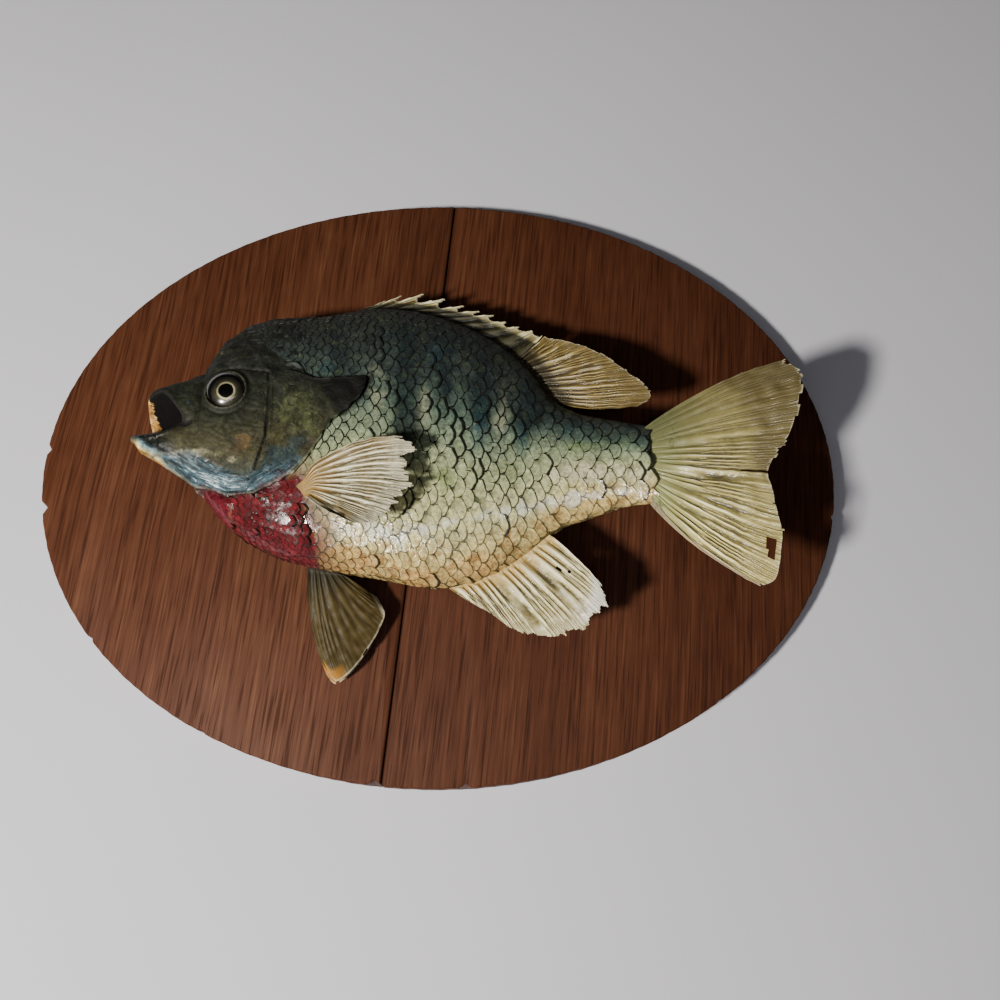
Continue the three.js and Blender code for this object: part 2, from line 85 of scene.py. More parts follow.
def curve_through(points):
    """A smooth function through (x, value) pairs."""
    xs, ys = np.array(points, float).T
    step = np.diff(ys) / np.diff(xs)
    before, after = np.diff(xs)[:-1], np.diff(xs)[1:]
    slopes = np.concatenate([step[:1], (step[:-1] * after + step[1:] * before) / (before + after), step[-1:]])

    def value(x):
        q = np.clip(x, xs[0], xs[-1])
        i = np.clip(np.searchsorted(xs, q) - 1, 0, len(xs) - 2)
        h = xs[i + 1] - xs[i]
        t = (q - xs[i]) / h
        bow = h * t * (1 - t) * (slopes[i] * (1 - t) - slopes[i + 1] * t)
        return ys[i] + (ys[i + 1] - ys[i]) * t * t * (3 - 2 * t) + bow

    return value


def spline(points, closed=False):
    """A smooth line through points, as a function of 0 to 1 that passes them at even steps."""
    p = np.array(points, float)
    last = len(p) if closed else len(p) - 1

    def place(share):
        where = np.clip(np.asarray(share, float), 0, 1) * last
        i = np.minimum(where.astype(int), last - 1)
        t = (where - i)[..., None]
        near = [p[(i + k) % len(p)] if closed else p[np.clip(i + k, 0, len(p) - 1)] for k in (-1, 0, 1, 2)]
        a, b, c, d = near
        return b + 0.5 * t * (c - a + t * (2 * a - 5 * b + 4 * c - d + t * (3 * (b - c) + d - a)))

    return place


def smooth(low, high, value):
    """0 below low, 1 above high, and a soft step between."""
    t = np.clip((value - low) / (high - low), 0, 1)
    return t * t * (3 - 2 * t)


def waves(points, size, seed, count=14):
    """Soft random hills of about that size in mm, around 0 and mostly within 1, at each point."""
    rng = np.random.default_rng(seed)
    points = np.asarray(points, float)
    total = np.zeros(points.shape[:-1])
    for _ in range(count):
        way = rng.normal(size=points.shape[-1])
        way *= 2 * math.pi / (size * rng.uniform(0.7, 1.5)) / np.linalg.norm(way)
        total += np.sin(points @ way + rng.uniform(0, 2 * math.pi))
    return total / math.sqrt(count / 2) * 0.6


def line_distance(x, z, line):
    """The distance in mm of each point x, z from an open line of points."""
    best = np.full(np.shape(x), 1e9)
    for (ax, az), (bx, bz) in zip(line[:-1], line[1:]):
        dx, dz = bx - ax, bz - az
        t = np.clip(((x - ax) * dx + (z - az) * dz) / (dx * dx + dz * dz), 0, 1)
        best = np.minimum(best, np.hypot(x - ax - t * dx, z - az - t * dz))
    return best


def outline_distance(x, z, outline):
    """The distance from a closed outline, below 0 inside it."""
    ring = list(outline) + [outline[0]]
    inside = np.zeros(np.shape(x), bool)
    for (ax, az), (bx, bz) in zip(ring[:-1], ring[1:]):
        if az != bz:
            inside ^= ((az > z) != (bz > z)) & (x < (bx - ax) * (z - az) / (bz - az) + ax)
    distance = line_distance(x, z, ring)
    return np.where(inside, -distance, distance)


# %% The fish's profiles, in millimetres
BOARD_THICK = 9.5
GAP = 0.3
BACK = [(-80, 24.5), (-75, 36.5), (-69, 43.5), (-60, 47.5), (-42, 50), (-20, 53.8), (4, 48.7),
        (22, 38.2), (32, 28.5), (39, 17.5), (47, 11.6), (57, 8.2), (70, 3.9)]
BELLY = [(-80, -14.8), (-70, -27.2), (-58, -36), (-40, -41.6), (-20, -45), (4, -48), (20, -43.4),
         (32, -35.4), (40, -29.6), (50, -26.6), (60, -24), (70, -23.5)]
HALF_WIDTH = [(-80, 10.2), (-66, 14), (-50, 17), (-30, 18.6), (-8, 18.4), (14, 16.4), (32, 12.4),
              (48, 8.6), (70, 4.6)]
MID_HEIGHT = [(-105, 30.5), (-80, 23.5), (-50, 18.6), (-25, 17.6), (5, 17.6), (30, 20.2), (55, 27),
              (75, 34), (95, 41), (125, 51)]
WIDEST_AT = 0.48
ROUNDNESS = 0.92
SNOUT, TAIL_ROOT = -80, 70
back_line, belly_line = curve_through(BACK), curve_through(BELLY)
half_width, mid_height = curve_through(HALF_WIDTH), curve_through(MID_HEIGHT)


def in_fish(x, z, n, floor=GAP):
    """The place at x and z, n out of the fish's bent mid plane and at least floor off the board."""
    slope = mid_height(x + 0.5) - mid_height(x - 0.5)
    length = np.hypot(1, slope)
    height = np.maximum(mid_height(x) + n / length, floor)
    return np.stack(np.broadcast_arrays(x - n * slope / length, -(BOARD_THICK + height), z), -1)


def section(x, angle, swell=0.0):
    """z and n of the body's outline at x. The angle runs from the back over the near flank."""
    top, bottom = back_line(x) + swell, belly_line(x) - swell
    widest = bottom + (top - bottom) * WIDEST_AT
    up, out = np.cos(angle), np.sin(angle)
    z = widest + np.where(up > 0, top - widest, widest - bottom) * up
    n = (half_width(x) + swell) * np.sign(out) * np.abs(out) ** ROUNDNESS
    return z, n


def on_body(x, angle, swell=0.0, floor=GAP):
    """The place on the body's surface, swollen by that much."""
    z, n = section(x, angle, swell)
    return in_fish(x, z, n, floor)


def rise(x, z):
    """How high z is in the body at x: 0 on the belly, 1 on the back."""
    return (z - belly_line(x)) / (back_line(x) - belly_line(x))


def flank_place(x, z, side=1, swell=0.0, floor=GAP):
    """The place on one flank that shows at x, z from in front of the board: side 1 near, -1 far."""
    along = np.array(x, float)
    for _ in range(5):
        top, bottom = back_line(along), belly_line(along)
        widest = bottom + (top - bottom) * WIDEST_AT
        up = np.clip((z - widest) / np.where(z > widest, top - widest, widest - bottom), -1, 1)
        n = (half_width(along) + swell) * (1 - up * up) ** (ROUNDNESS / 2)
        slope = mid_height(along + 0.5) - mid_height(along - 0.5)
        along = x + n * slope / np.hypot(1, slope)
    return in_fish(along, z, side * n, floor)


depth_at = float(back_line(-20) - belly_line(-20))
print("fish from x", SNOUT, "to", TAIL_ROOT, "mm, deepest", round(depth_at), "mm")

# %% [markdown]
# ## Meshes from grids
# Skin, gill covers, scales and fins are all sheets that bend two ways, so each is worked out as a grid of
# points by a formula and then joined into faces. A grid gives exact places that no row of extrudes could,
# and it keeps rays, scales and lips in line with the fish. Numbers that a finish needs, such as the
# distance from the ear flap's edge, go along as attributes of the points.

# %% Grids, plates and attributes


def grid_faces(rows, columns, wrap=False):
    """Quads over a grid of points, joined round from the last column to the first if it wraps."""
    r, c = np.meshgrid(np.arange(rows - 1), np.arange(columns if wrap else columns - 1), indexing="ij")
    here, along = r * columns + c, r * columns + (c + 1) % columns
    return np.stack([here, along, along + columns, here + columns], -1).reshape(-1, 4)


def make_mesh(name, points, faces, attributes=None, uv=None, uv_name="rays"):
    """A smooth mesh from points in mm. attributes and uv hold one value for each point."""
    mesh = bpy.data.meshes.new(name)
    mesh.from_pydata((np.asarray(points, float) * MM).tolist(), [], [list(map(int, f)) for f in faces])
    for key, values in (attributes or {}).items():
        mesh.attributes.new(key, "FLOAT", "POINT").data.foreach_set("value", np.ravel(values))
    if uv is not None:
        corners = np.empty(len(mesh.loops), int)
        mesh.loops.foreach_get("vertex_index", corners)
        mesh.uv_layers.new(name=uv_name).data.foreach_set("uv", np.asarray(uv)[corners].ravel())
    mesh.shade_smooth()
    piece = bpy.data.objects.new(name, mesh)
    bpy.context.collection.objects.link(piece)
    return piece


def face_out(piece):
    """Merges doubled points, turns every face of a closed piece outward and keeps thin rims crisp."""
    bpy.ops.object.select_all(action="DESELECT")
    bpy.context.view_layer.objects.active = piece
    piece.select_set(True)
    bpy.ops.object.mode_set(mode="EDIT")
    bpy.ops.mesh.select_all(action="SELECT")
    bpy.ops.mesh.remove_doubles(threshold=1e-7)
    bpy.ops.mesh.normals_make_consistent(inside=False)
    bpy.ops.object.mode_set(mode="OBJECT")
    bpy.ops.object.shade_smooth_by_angle(angle=math.radians(50))
    piece.select_set(False)


def plate_faces(rows, columns):
    """Faces of a closed plate whose points are a front grid and then a back grid."""
    front = grid_faces(rows, columns)
    back = front[:, ::-1] + rows * columns
    down = [r * columns for r in range(rows)]
    rim = (list(range(columns)) + [d + columns - 1 for d in down[1:]]
           + [down[-1] + c for c in range(columns - 2, -1, -1)] + down[-2:0:-1])
    rim = np.array(rim)
    after = np.roll(rim, -1)
    side = np.stack([after, rim, rim + rows * columns, after + rows * columns], -1)
    return np.concatenate([front, back, side])


def finished(piece, material, slot, *nodes):
    """Gives a piece its material, hangs it on the root body and hides the frame's parts that it stands for.
    """
    piece.data.materials.clear()
    piece.data.materials.append(material)
    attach(piece, "root")
    if nodes:
        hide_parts(*nodes)
    faces = piece.data.polygons
    print(piece.name, len(faces), "faces,", sum(len(face.vertices) - 2 for face in faces), "triangles")


# %% [markdown]
# ## Material nodes
# Every finish is a small net of nodes. One function adds a node with its settings and links, and one turns
# the colours, written as sRGB hex as on a paint chart, into the linear values that the shader needs.

# %% Nodes and colours


def colour(code):
    """Linear RGBA of an sRGB hex colour."""
    parts = [int(code[i:i + 2], 16) / 255 for i in (1, 3, 5)]
    return [v / 12.92 if v <= 0.04045 else ((v + 0.055) / 1.055) ** 2.4 for v in parts] + [1.0]


def add(tree, kind, *values, out=0, stops=(), **settings):
    """Adds a node and gives back one of its outputs, by name or by its place among the open ones.

    The values go into the open inputs in their order: numbers, vectors, hex colours or the outputs of
    other nodes, and None leaves an input as it is. Stops are the places and colours of a colour ramp.
    """
    made = tree.nodes.new("ShaderNode" + kind)
    for key, value in settings.items():
        setattr(made, key, value)
    for i, (place, code) in enumerate(stops):
        marks = made.color_ramp.elements
        mark = marks[i] if i < 2 else marks.new(place)
        mark.position, mark.color = place, colour(code)
    for socket, value in zip([s for s in made.inputs if s.enabled], values):
        if isinstance(value, bpy.types.NodeSocket):
            tree.links.new(value, socket)
        elif value is not None:
            socket.default_value = colour(value) if isinstance(value, str) else value
    return made.outputs[out] if isinstance(out, str) else [s for s in made.outputs if s.enabled][out]


def new_material(name, **shader):
    """A material with a Principled shader, whose constant values are set on its own sockets."""
    material = bpy.data.materials.new(name)
    material.use_nodes = True
    principled = material.node_tree.nodes["Principled BSDF"]
    for key, value in shader.items():
        principled.inputs[key.replace("_", " ")].default_value = value
    return material, material.node_tree, principled


# Settings that many nodes share.
SOFT = {"interpolation_type": "SMOOTHSTEP"}
COLOURS = {"data_type": "RGBA"}
NOISE_4D = {"noise_dimensions": "4D"}
PLUS, TIMES, TIMES_PLUS = ({"operation": name} for name in ("ADD", "MULTIPLY", "MULTIPLY_ADD"))
MM_SCALE = 0.5 / MM  # a noise of this scale over s has lumps about s mm across

print("node helpers ready")

# %% [markdown]
# ## Light and backdrop
# One small lamp stands close at the lower left and throws the shadows. A long low one beside it is as wide
# as a window and draws the line of light along the flank. The rest of the room gives a weak even light. The
# wall behind the board is pale and keeps the shadow. Seen from behind it is clear, so that the board's back
# can be looked at.

# %% Lamps, wall and floor
KEY_AT, KEY_AIM, KEY_SIZE, KEY_WATTS = (-372, -612, -355), (-170, -20, 55), 85, 11.2
WINDOW_AT, WINDOW_AIM, WINDOW_TILT = (-9, -715, -269), (0, -20, 0), 27
WINDOW_LONG, WINDOW_HIGH, WINDOW_WATTS = 700, 25, 0.85
FILL = 0.025
WALL_SIZE, WALL_GAP = 3, 0.0006  # in metres: the wall stands just behind the board


def lamp(name, at, target, long, high, watts, tint, roll=0.0):
    """An oval lamp, long and high in mm, turned round its own axis by roll."""
    light = bpy.data.lights.new(name, "AREA")
    light.shape, light.size, light.size_y, light.energy = "ELLIPSE", long * MM, high * MM, watts
    light.color = colour(tint)[:3]
    made = bpy.data.objects.new(name, light)
    bpy.context.collection.objects.link(made)
    aim(made, at, target)
    made.rotation_euler.rotate_axis("Z", roll)


lamp("lamp", KEY_AT, KEY_AIM, KEY_SIZE, KEY_SIZE, KEY_WATTS, "#fffaf2")
lamp("window", WINDOW_AT, WINDOW_AIM, WINDOW_LONG, WINDOW_HIGH, WINDOW_WATTS, "#fbfaff",
     math.radians(WINDOW_TILT))
world = bpy.data.worlds.new("room")
bpy.context.scene.world = world
world.use_nodes = True
sky = world.node_tree.nodes["Background"]
sky.inputs["Color"].default_value = colour("#ece9ea")
sky.inputs["Strength"].default_value = FILL

wall_paint, tree, shader = new_material("wall_emulsion_paint", Roughness=0.75)
place = add(tree, "TexCoord", out="Object")
mottle = add(tree, "TexNoise", place, 0.0, MM_SCALE / 60, 2.0, **NOISE_4D)
tree.links.new(add(tree, "Mix", mottle, "#c2c2c9", "#c8c8cf", **COLOURS), shader.inputs["Base Color"])
clear = add(tree, "BsdfTransparent")
behind = add(tree, "NewGeometry", out="Backfacing")
one_sided = add(tree, "MixShader", behind, shader.outputs[0], clear)
tree.links.new(one_sided, tree.nodes["Material Output"].inputs["Surface"])

bpy.ops.object.select_all(action="DESELECT")
bpy.ops.mesh.primitive_plane_add(size=WALL_SIZE, location=(0, WALL_GAP, WALL_SIZE / 4),
                                 rotation=(math.pi / 2, 0, 0))
wall = bpy.context.active_object
bpy.ops.mesh.primitive_plane_add(size=WALL_SIZE, location=(0, -WALL_SIZE / 2, -WALL_SIZE / 4))
floor = bpy.context.active_object
for surface, name in ((wall, "wall"), (floor, "floor")):
    surface.name = name
    surface.data.materials.append(wall_paint)
bpy.ops.object.select_all(action="DESELECT")
print("lamp", KEY_WATTS, "W, window", WINDOW_WATTS, "W")

# %% [markdown]
# ## Landmarks
# Paint and relief follow the same landmarks on skin and scales: the gill cover, the black ear flap, the red
# throat, the creases of the cheek and the cracks that opened as the skin dried. Each is a short line or
# outline of x and z in millimetres on the near flank, and the far side takes its mirror image. The distance
# from a landmark is stored with each point, because a finish can then draw its edge as sharp as it likes.

# %% Landmarks of the fish
GILL_REAR = [(-56, 20.5), (-50, 21.6), (-45, 20.6), (-40, 18.6), (-30, 19), (-24, 18.8), (-24.4, 13.6),
             (-26.8, 10), (-30.6, 6), (-34, 3), (-38.5, -4.5), (-43, -11.5), (-47.5, -15.6), (-54, -18.6),
             (-61, -19.8)]
GILL_FRONT = [(-56, 20.5), (-54.8, 13), (-54.4, 4), (-55.4, -5), (-58.6, -12.6), (-61, -19.8)]
GILL_COVER = GILL_REAR + GILL_FRONT[-2:0:-1]
EAR_FLAP = [(-42.5, 18.6), (-36, 18.4), (-29, 20), (-22, 20.4), (-22.6, 13), (-26.3, 9.4), (-30.6, 5.4),
            (-33.6, 8), (-35.6, 10.4), (-38.6, 14.6)]
RED_THROAT = [(-81, -16.4), (-77, -16.6), (-67.3, -20.9), (-58.2, -20.7), (-51.4, -18.3), (-46.6, -15),
              (-43.4, -16.2), (-42, -24.5), (-39.8, -29.1), (-38.4, -35), (-38.6, -41), (-40, -70),
              (-90, -60)]
JAW_EDGE = [(-103, -1), (-99.6, -2.6), (-97.2, -5.3), (-93.8, -7.3), (-89.8, -9.6), (-85.9, -11.9),
            (-83, -13.7), (-79.1, -16), (-67.3, -20.7), (-58.2, -20.4), (-52.1, -17.9), (-47.3, -15.2),
            (-43, -11)]
BROW_CREASE = [(-69.8, 23.7), (-62.6, 22.6), (-56.4, 21.5)]
CHEEK_CREASE = [(-56.2, 21.3), (-55.3, 12), (-55.2, 4), (-55.7, -3), (-57, -8), (-58.2, -12.4)]
CHEEK_CRACKS = [[(-55.4, 4.6), (-55.6, -1.5), (-56.8, -6), (-58.6, -12.8)]]
MAXILLA = [(-89.6, 14), (-87.2, 11.4), (-86.4, 9.4), (-84.7, 6), (-82.3, 4.4), (-80.8, 4.7)]
LIP_PIT = [(-84.4, 3), (-82.2, 2.9), (-80.7, 3.7)]
SHOULDER_LIP = [(-50.4, 24.6), (-47.6, 24.9), (-45, 22.8), (-44.6, 20.8)]
SHOULDER_PIT = [(-44.2, 24.4), (-42, 21.8), (-38.4, 20.4)]
FLANK_CRACKS = [[(4.6, 12.6), (3.4, 9), (3.9, 4)],
                [(7.2, 10), (6.4, 6), (8, 1.4), (6.8, -3), (8, -6), (6.2, -9.6)],
                [(-2.4, 13.5), (-0.8, 9), (0.3, 3.6)], [(13.6, -8), (14.4, -13), (13.2, -17)],
                [(26.4, -3), (27.4, 2), (28.4, 6)], [(-19.6, 39), (-20.4, 33), (-18.8, 27)],
                [(-1, 30), (0.6, 24), (1, 18)], [(-8.2, -15), (-6.4, -21), (-8.6, -26)],
                [(-41.8, -24.5), (-41.2, -31), (-40, -36)]]
TAIL_CRACK = [(65, 4.4), (66.4, 1), (66.8, -4), (69.4, -7.6), (69, -12), (67, -16), (66.6, -20)]
EYE_AT, EYE_RADIUS, EYE_DEPTH, EYE_SUNK, EYE_TAPER = (-71.7, 14.7), 7.2, 4.4, 2.0, 0.22


def eye_frame(side):
    """The eye's centre and the direction it looks in, on the near side 1 or the far side -1."""
    x, z = EYE_AT
    centre = in_fish(x, z, side * (0.965 * half_width(x) - EYE_SUNK))
    turn = -math.atan(mid_height(x + 0.5) - mid_height(x - 0.5)) - side * EYE_TAPER
    return centre, np.array([math.sin(turn), -math.cos(turn), 0]) * side


def from_jaw_edge(x, z):
    """The distance from the lower jaw's edge, and whether a point lies above it."""
    return line_distance(x, z, JAW_EDGE), z > np.interp(x, *np.array(JAW_EDGE, float).T)


def nearest(x, z, lines):
    """The distance from the nearest of several lines."""
    return np.min([line_distance(x, z, line) for line in lines], axis=0)


# Painted patches with soft edges: x and z of the middle, half width, half height and strength. Glare is a
# painted highlight: it marks where the streaks under the cheek are painted brightest, as the varnish's glare.
PATCHES = {
    "dark": [(-34, 33, 3.4, 20, 0.7), (-32, 14, 3.6, 8, 0.9), (-10.5, 24, 4.2, 16, 0.9),
             (-10.5, 3, 5.2, 12, 1), (-41.6, -19.5, 2.4, 4.5, 0.8), (-2, 38, 30, 9, 0.6),
             (1.5, 27, 4, 12, 0.95), (2.6, 14, 3, 8, 0.7), (14.5, 20, 4.4, 12, 1), (14, 8, 3.6, 8, 0.85),
             (29.5, 14, 4.2, 9, 1), (28.6, 3, 3.4, 7, 0.75), (37, 9, 5, 6, 0.55), (44, 6, 4, 3.5, 0.55),
             (51, 3.6, 5, 2.6, 0.45), (64, 3.5, 4, 3, 0.5)],
    "blue": [(13.6, 0, 2.6, 8, 0.8), (13, 9, 2.6, 6, 0.5), (27.6, -3.5, 2.6, 7, 0.85),
             (-40, 31, 3.4, 5, 0.5), (-37.5, 23, 3, 4, 0.6), (-16, 36, 4, 10, 0.35), (0, 30, 5, 9, 0.4),
             (43, 2.6, 3.6, 2.6, 0.6), (50, 0.4, 2.6, 2, 0.3), (-46, 33, 3, 4, 0.3), (6, 1, 2.5, 7, 0.35),
             (-36, 5, 3, 5, 0.5)],
    "pale": [(-19.6, 11.6, 3.4, 6.6, 0.75), (-21, 22, 4, 5, 0.35), (-4.6, 8, 3.2, 9, 0.75),
             (20.6, 6, 3.4, 7, 0.75), (8.4, 4, 2, 8, 0.35), (36, 0, 4, 5, 0.4), (-30, -3, 4, 6, 0.5),
             (45, -9.5, 9, 5, 0.4)],
    "green": [(2.8, -15.8, 4, 4, 0.8), (11, -20.7, 6, 6, 0.4), (48, -4, 16, 3.6, 0.55),
              (24, -13, 5, 6, 0.35), (-5, -22, 5, 6, 0.3), (36, -19, 8, 5, 0.3), (-46, 9, 7, 8, 0.8),
              (-42, 2, 6, 5, 0.6), (-50, -3, 5, 6, 0.5), (-70, -1, 6, 4, 0.4)],
    "warm": [(-62.8, -3.6, 3.8, 3.4, 0.85), (-23.5, -41.5, 9, 3.6, 0.75), (-36, -35, 3.4, 6, 0.9),
             (-5, -46, 10, 3, 0.9), (14, -42.4, 9, 4, 1), (-30, -40.6, 5, 3.4, 0.9), (24, -37, 5, 4, 0.5),
             (23.2, -33, 1.5, 3.4, 0.8), (47, -13, 9, 2.4, 0.3), (-67, -6.4, 3.4, 2, 0.4),
             (-31, -26, 5, 5, 0.35)],
    "steel": [(-48.2, -10.4, 5, 4.6, 0.9), (-44.4, -4.5, 4.6, 3.4, 0.8), (-50.9, -13.8, 6, 4, 1),
              (-53, -7, 3, 4, 0.6), (-57.8, -15.9, 5, 3, 0.9), (-82, 9.6, 4, 4, 0.45),
              (-75.9, -9.3, 5, 1.6, 0.4)],
    "cream": [(49, -13.4, 15, 3.6, 0.9), (66, -15, 5, 6, 0.6), (-75.5, 30.5, 4, 1.2, 0.4),
              (-69.6, 34, 3, 1.4, 0.35), (-77.7, -6.6, 4.6, 1.5, 0.7), (-71.4, -7.8, 4, 1.3, 0.5),
              (-66.4, -9.8, 3.2, 1.6, 0.7), (-63.6, -12.4, 3, 1.6, 0.4), (-91, -6.8, 4.5, 0.8, 0.9),
              (-84, -6.5, 4, 0.8, 0.8), (-56.2, 8, 0.5, 8, 0.5)],
    "glare": [(-79.6, -10.8, 3, 1.5, 0.6), (-76.4, -12.9, 3, 1.8, 0.8), (-72, -15.6, 4, 2.2, 1),
              (-67.4, -17, 4, 1.8, 0.8), (-62.6, -18, 3.4, 1.4, 0.5)],
}
# A pale line painted along the lower flank: partly pale scales, partly a painted highlight of the varnish.
SILVER_SHEEN_LINE = [(-22, -31.6), (-11.5, -34.4), (-4.9, -32.2), (1.9, -30.7), (11.8, -28.4), (21.9, -26.1),
               (32.1, -23.7), (41.8, -21.7), (54.2, -20.1), (61, -19.6)]
BLUE_BAND = [(-90, -7), (-80, -6.4), (-71.5, -11.4), (-61.3, -15.8), (-55.8, -13.6), (-48, -11.4), (-44, -10),
             (-47.3, -15.2), (-52.1, -17.9), (-58.2, -20.4), (-67.3, -20.7), (-79.1, -16), (-89, -11.7)]
# Heights z, and the x from which scales cover the flank there.
SCALES_FROM = [(-23, -67), (-20.5, -51), (-18, -49), (-12, -46), (0, -42), (20, -41), (25, -50), (32, -58),
               (45, -65)]


def scales_begin(z):
    """The x from which scales cover the near flank, at each height."""
    return np.interp(z, *np.array(SCALES_FROM, float).T)


def patch(x, z, spots):
    """How strongly the soft patches of one paint cover each point, from 0 to 1."""
    bare = np.ones(np.shape(x))
    for at_x, at_z, wide, high, strength in spots:
        bare *= 1 - strength * np.exp(-((x - at_x) / wide) ** 2 - ((z - at_z) / high) ** 2)
    return 1 - bare


def landmarks(x, z):
    """The attributes that drive the paint, for points at x, z on the near flank's view."""
    edge, above = from_jaw_edge(x, z)
    marks = {name: patch(x, z, spots) for name, spots in PATCHES.items()}
    return marks | {
        "level": rise(np.clip(x, SNOUT, TAIL_ROOT), z) - 0.1 * smooth(28, 48, x),
        "along": x,
        "high": z,
        "ear": outline_distance(x, z, EAR_FLAP),
        "red": outline_distance(x, z, RED_THROAT),
        "jaw": np.where(above, edge, -edge),
        "crack": nearest(x, z, FLANK_CRACKS + [TAIL_CRACK]),
        "head": np.minimum(x - scales_begin(z), outline_distance(x, z, GILL_COVER)),
        "band": outline_distance(x, z, BLUE_BAND),
        "silver_sheen": line_distance(x, z, SILVER_SHEEN_LINE),
    }


print("landmarks: eye at", EYE_AT, "ear flap", len(EAR_FLAP), "points")

# %% [markdown]
# ## The skin
# On the real fish one skin runs from the lips to the root of the tail. It is a grid here: each row is a ring
# round the fish, from the bottom of the open mouth out over the lips and back along the body. The rows
# stand close on the head, whose bones, folds and eye sockets are pressed into it by small pushes along its
# own direction. It lies 0.6 mm inside the flesh where scales cover it, and rises to the surface on the head.

# %% Rings from the mouth to the tail
NEAR_COLUMNS, FAR_COLUMNS = 256, 64
COAT = 0.6
MOUTH_END, TAIL_MIDDLE = (-79.0, 6), (TAIL_ROOT, -10)
# What a point stores that is far from an eye, outside the mouth and off the lip's inner pad.
NO_EYE, NO_MOUTH, NO_PAD = 99.0, -20.0, -9.0
MOUTH_RIM = [(-96, 15.4, 0), (-92.6, 16, 3.5), (-88.8, 11, 6.6), (-85.6, 4.4, 7.6), (-92.2, -0.2, 6.2),
             (-100.6, -0.9, 0), (-97.2, 0.8, -5), (-94.6, 3.2, -6.6), (-96, 9.5, -6.4), (-96.8, 13.8, -3.2)]
LIP, LIP_BACK = 1.1, 0.9
rim_curve = spline(MOUTH_RIM, closed=True)


def rim_ring(angle, out, inward):
    """The rim of the mouth, moved out from the mouth's middle and back along the fish."""
    ring = rim_curve(angle / (2 * math.pi))
    away = ring - np.mean(MOUTH_RIM, axis=0)
    away[:, 0] = 0
    ring = ring + away / np.linalg.norm(away, axis=1, keepdims=True) * out
    return in_fish(ring[:, 0] + inward, ring[:, 1], ring[:, 2])


def body_rows(angle):
    """All rows of the skin at these angles, and how deep each lies in the mouth, in mm."""
    end = in_fish(MOUTH_END[0], MOUTH_END[1] + 5 * np.cos(angle), 4 * np.sin(angle))
    inside, lips = rim_ring(angle, -LIP, LIP_BACK), rim_ring(angle, LIP, LIP_BACK)
    base = on_body(np.full_like(angle, SNOUT), angle)
    rows, depth = [], []
    for t in np.concatenate([np.linspace(0, 0.62, 8), np.linspace(0.68, 0.97, 10)]):
        rows.append(end + (inside - end) * t)
        depth.append(1 + 14 * (1 - t))
    for turn in np.radians(np.linspace(-90, 90, 11)):
        rows.append(rim_ring(angle, LIP * math.sin(turn), LIP_BACK * (1 - math.cos(turn))))
        depth.append(-1.5 * math.sin(turn))
    chin = smooth(-0.1, -1, np.cos(angle))[:, None] * np.array([0, 0, 1])
    for t in np.linspace(0, 1, 38)[1:-1]:
        rows.append(lips + (base - lips) * t - 1.7 * chin * smooth(0, 0.13, t) * (1 - t) ** 0.9)
        depth.append(-2 - 14 * t)
    for x in np.concatenate([np.arange(SNOUT, -41, 0.5), np.arange(-41, TAIL_ROOT + 0.1, 1.5)]):
        scaled = np.maximum(smooth(-62, -48, x), smooth(-70, -65, x) * smooth(-0.58, -0.72, np.cos(angle)))
        rows.append(on_body(np.full_like(angle, x), angle, -COAT * scaled - 0.06, GAP + 0.2))
        depth.append(NO_MOUTH)
    return np.array(rows), np.array(depth)


angles = np.concatenate([np.linspace(0, math.pi, NEAR_COLUMNS, endpoint=False),
                         np.linspace(math.pi, 2 * math.pi, FAR_COLUMNS, endpoint=False)])
skin_points, mouth_depth = body_rows(angles)
mirrored, _ = body_rows(np.minimum(angles, 2 * math.pi - angles))
flat_x, flat_z = mirrored[..., 0], mirrored[..., 2]
mouth_depth = np.broadcast_to(mouth_depth[:, None], flat_x.shape)
print("skin grid", skin_points.shape[:2])

# %% Relief: bones, folds, lips and eye sockets


def grid_normals(points):
    """Outward directions over a grid whose columns run round a body."""
    down = np.gradient(points, axis=0)
    round_it = np.roll(points, -1, axis=1) - np.roll(points, 1, axis=1)
    normal = np.cross(round_it, down)
    length = np.linalg.norm(normal, axis=-1, keepdims=True)
    return normal / np.maximum(length, 1e-9)


def ridge(x, z, line, width):
    """1 along a line, falling off softly over about that width."""
    return np.exp(-(line_distance(x, z, line) / width) ** 2)


def head_relief(x, z, points):
    """How far the skin of head and jaws stands out, in mm, at x, z in the near flank's view."""
    head = 1 - smooth(-48, -40, x)
    push = -0.45 * ridge(x, z, BROW_CREASE, 0.35) - 0.6 * ridge(x, z, CHEEK_CREASE, 0.35)
    push += 0.35 * ridge(x - 1.0, z, CHEEK_CREASE, 0.6) * smooth(-4, 4, z)
    push -= 1.5 * np.exp(-((x + 66) / 6.5) ** 2) * smooth(28, 37, z)
    push += 0.2 * ridge(x, z, MAXILLA[1:4], 0.6) - 0.35 * ridge(x, z, LIP_PIT, 1.2)
    push += 0.9 * ridge(x, z, SHOULDER_LIP, 0.7) - 1.6 * ridge(x, z, SHOULDER_PIT, 1.5)
    edge, above = from_jaw_edge(x, z)
    folds = smooth(9, 5, edge) * smooth(0.4, 1.4, edge) * above
    push += 0.09 * folds * np.sin(edge * 3.1 + 1.2 * np.sin(x * 0.18))
    push += 0.9 * smooth(1.6, 0.2, edge) * above * smooth(-84, -78, x) - 1.2 * smooth(2.2, 0.3, edge) * ~above
    nape = smooth(18, 26, z)
    push += head * (0.12 + 0.3 * nape) * waves(points, 5.0, 3)
    push += head * (0.03 + 0.07 * nape) * waves(points, 1.7, 5)
    cheek = smooth(-80, -74, x) * smooth(-56, -60, x) * smooth(22, 16, z) * smooth(-12, -6, z)
    push += 0.05 * cheek * np.sin((z + 0.25 * x + 1.5 * waves(points, 9, 8)) * 2.6)
    return push


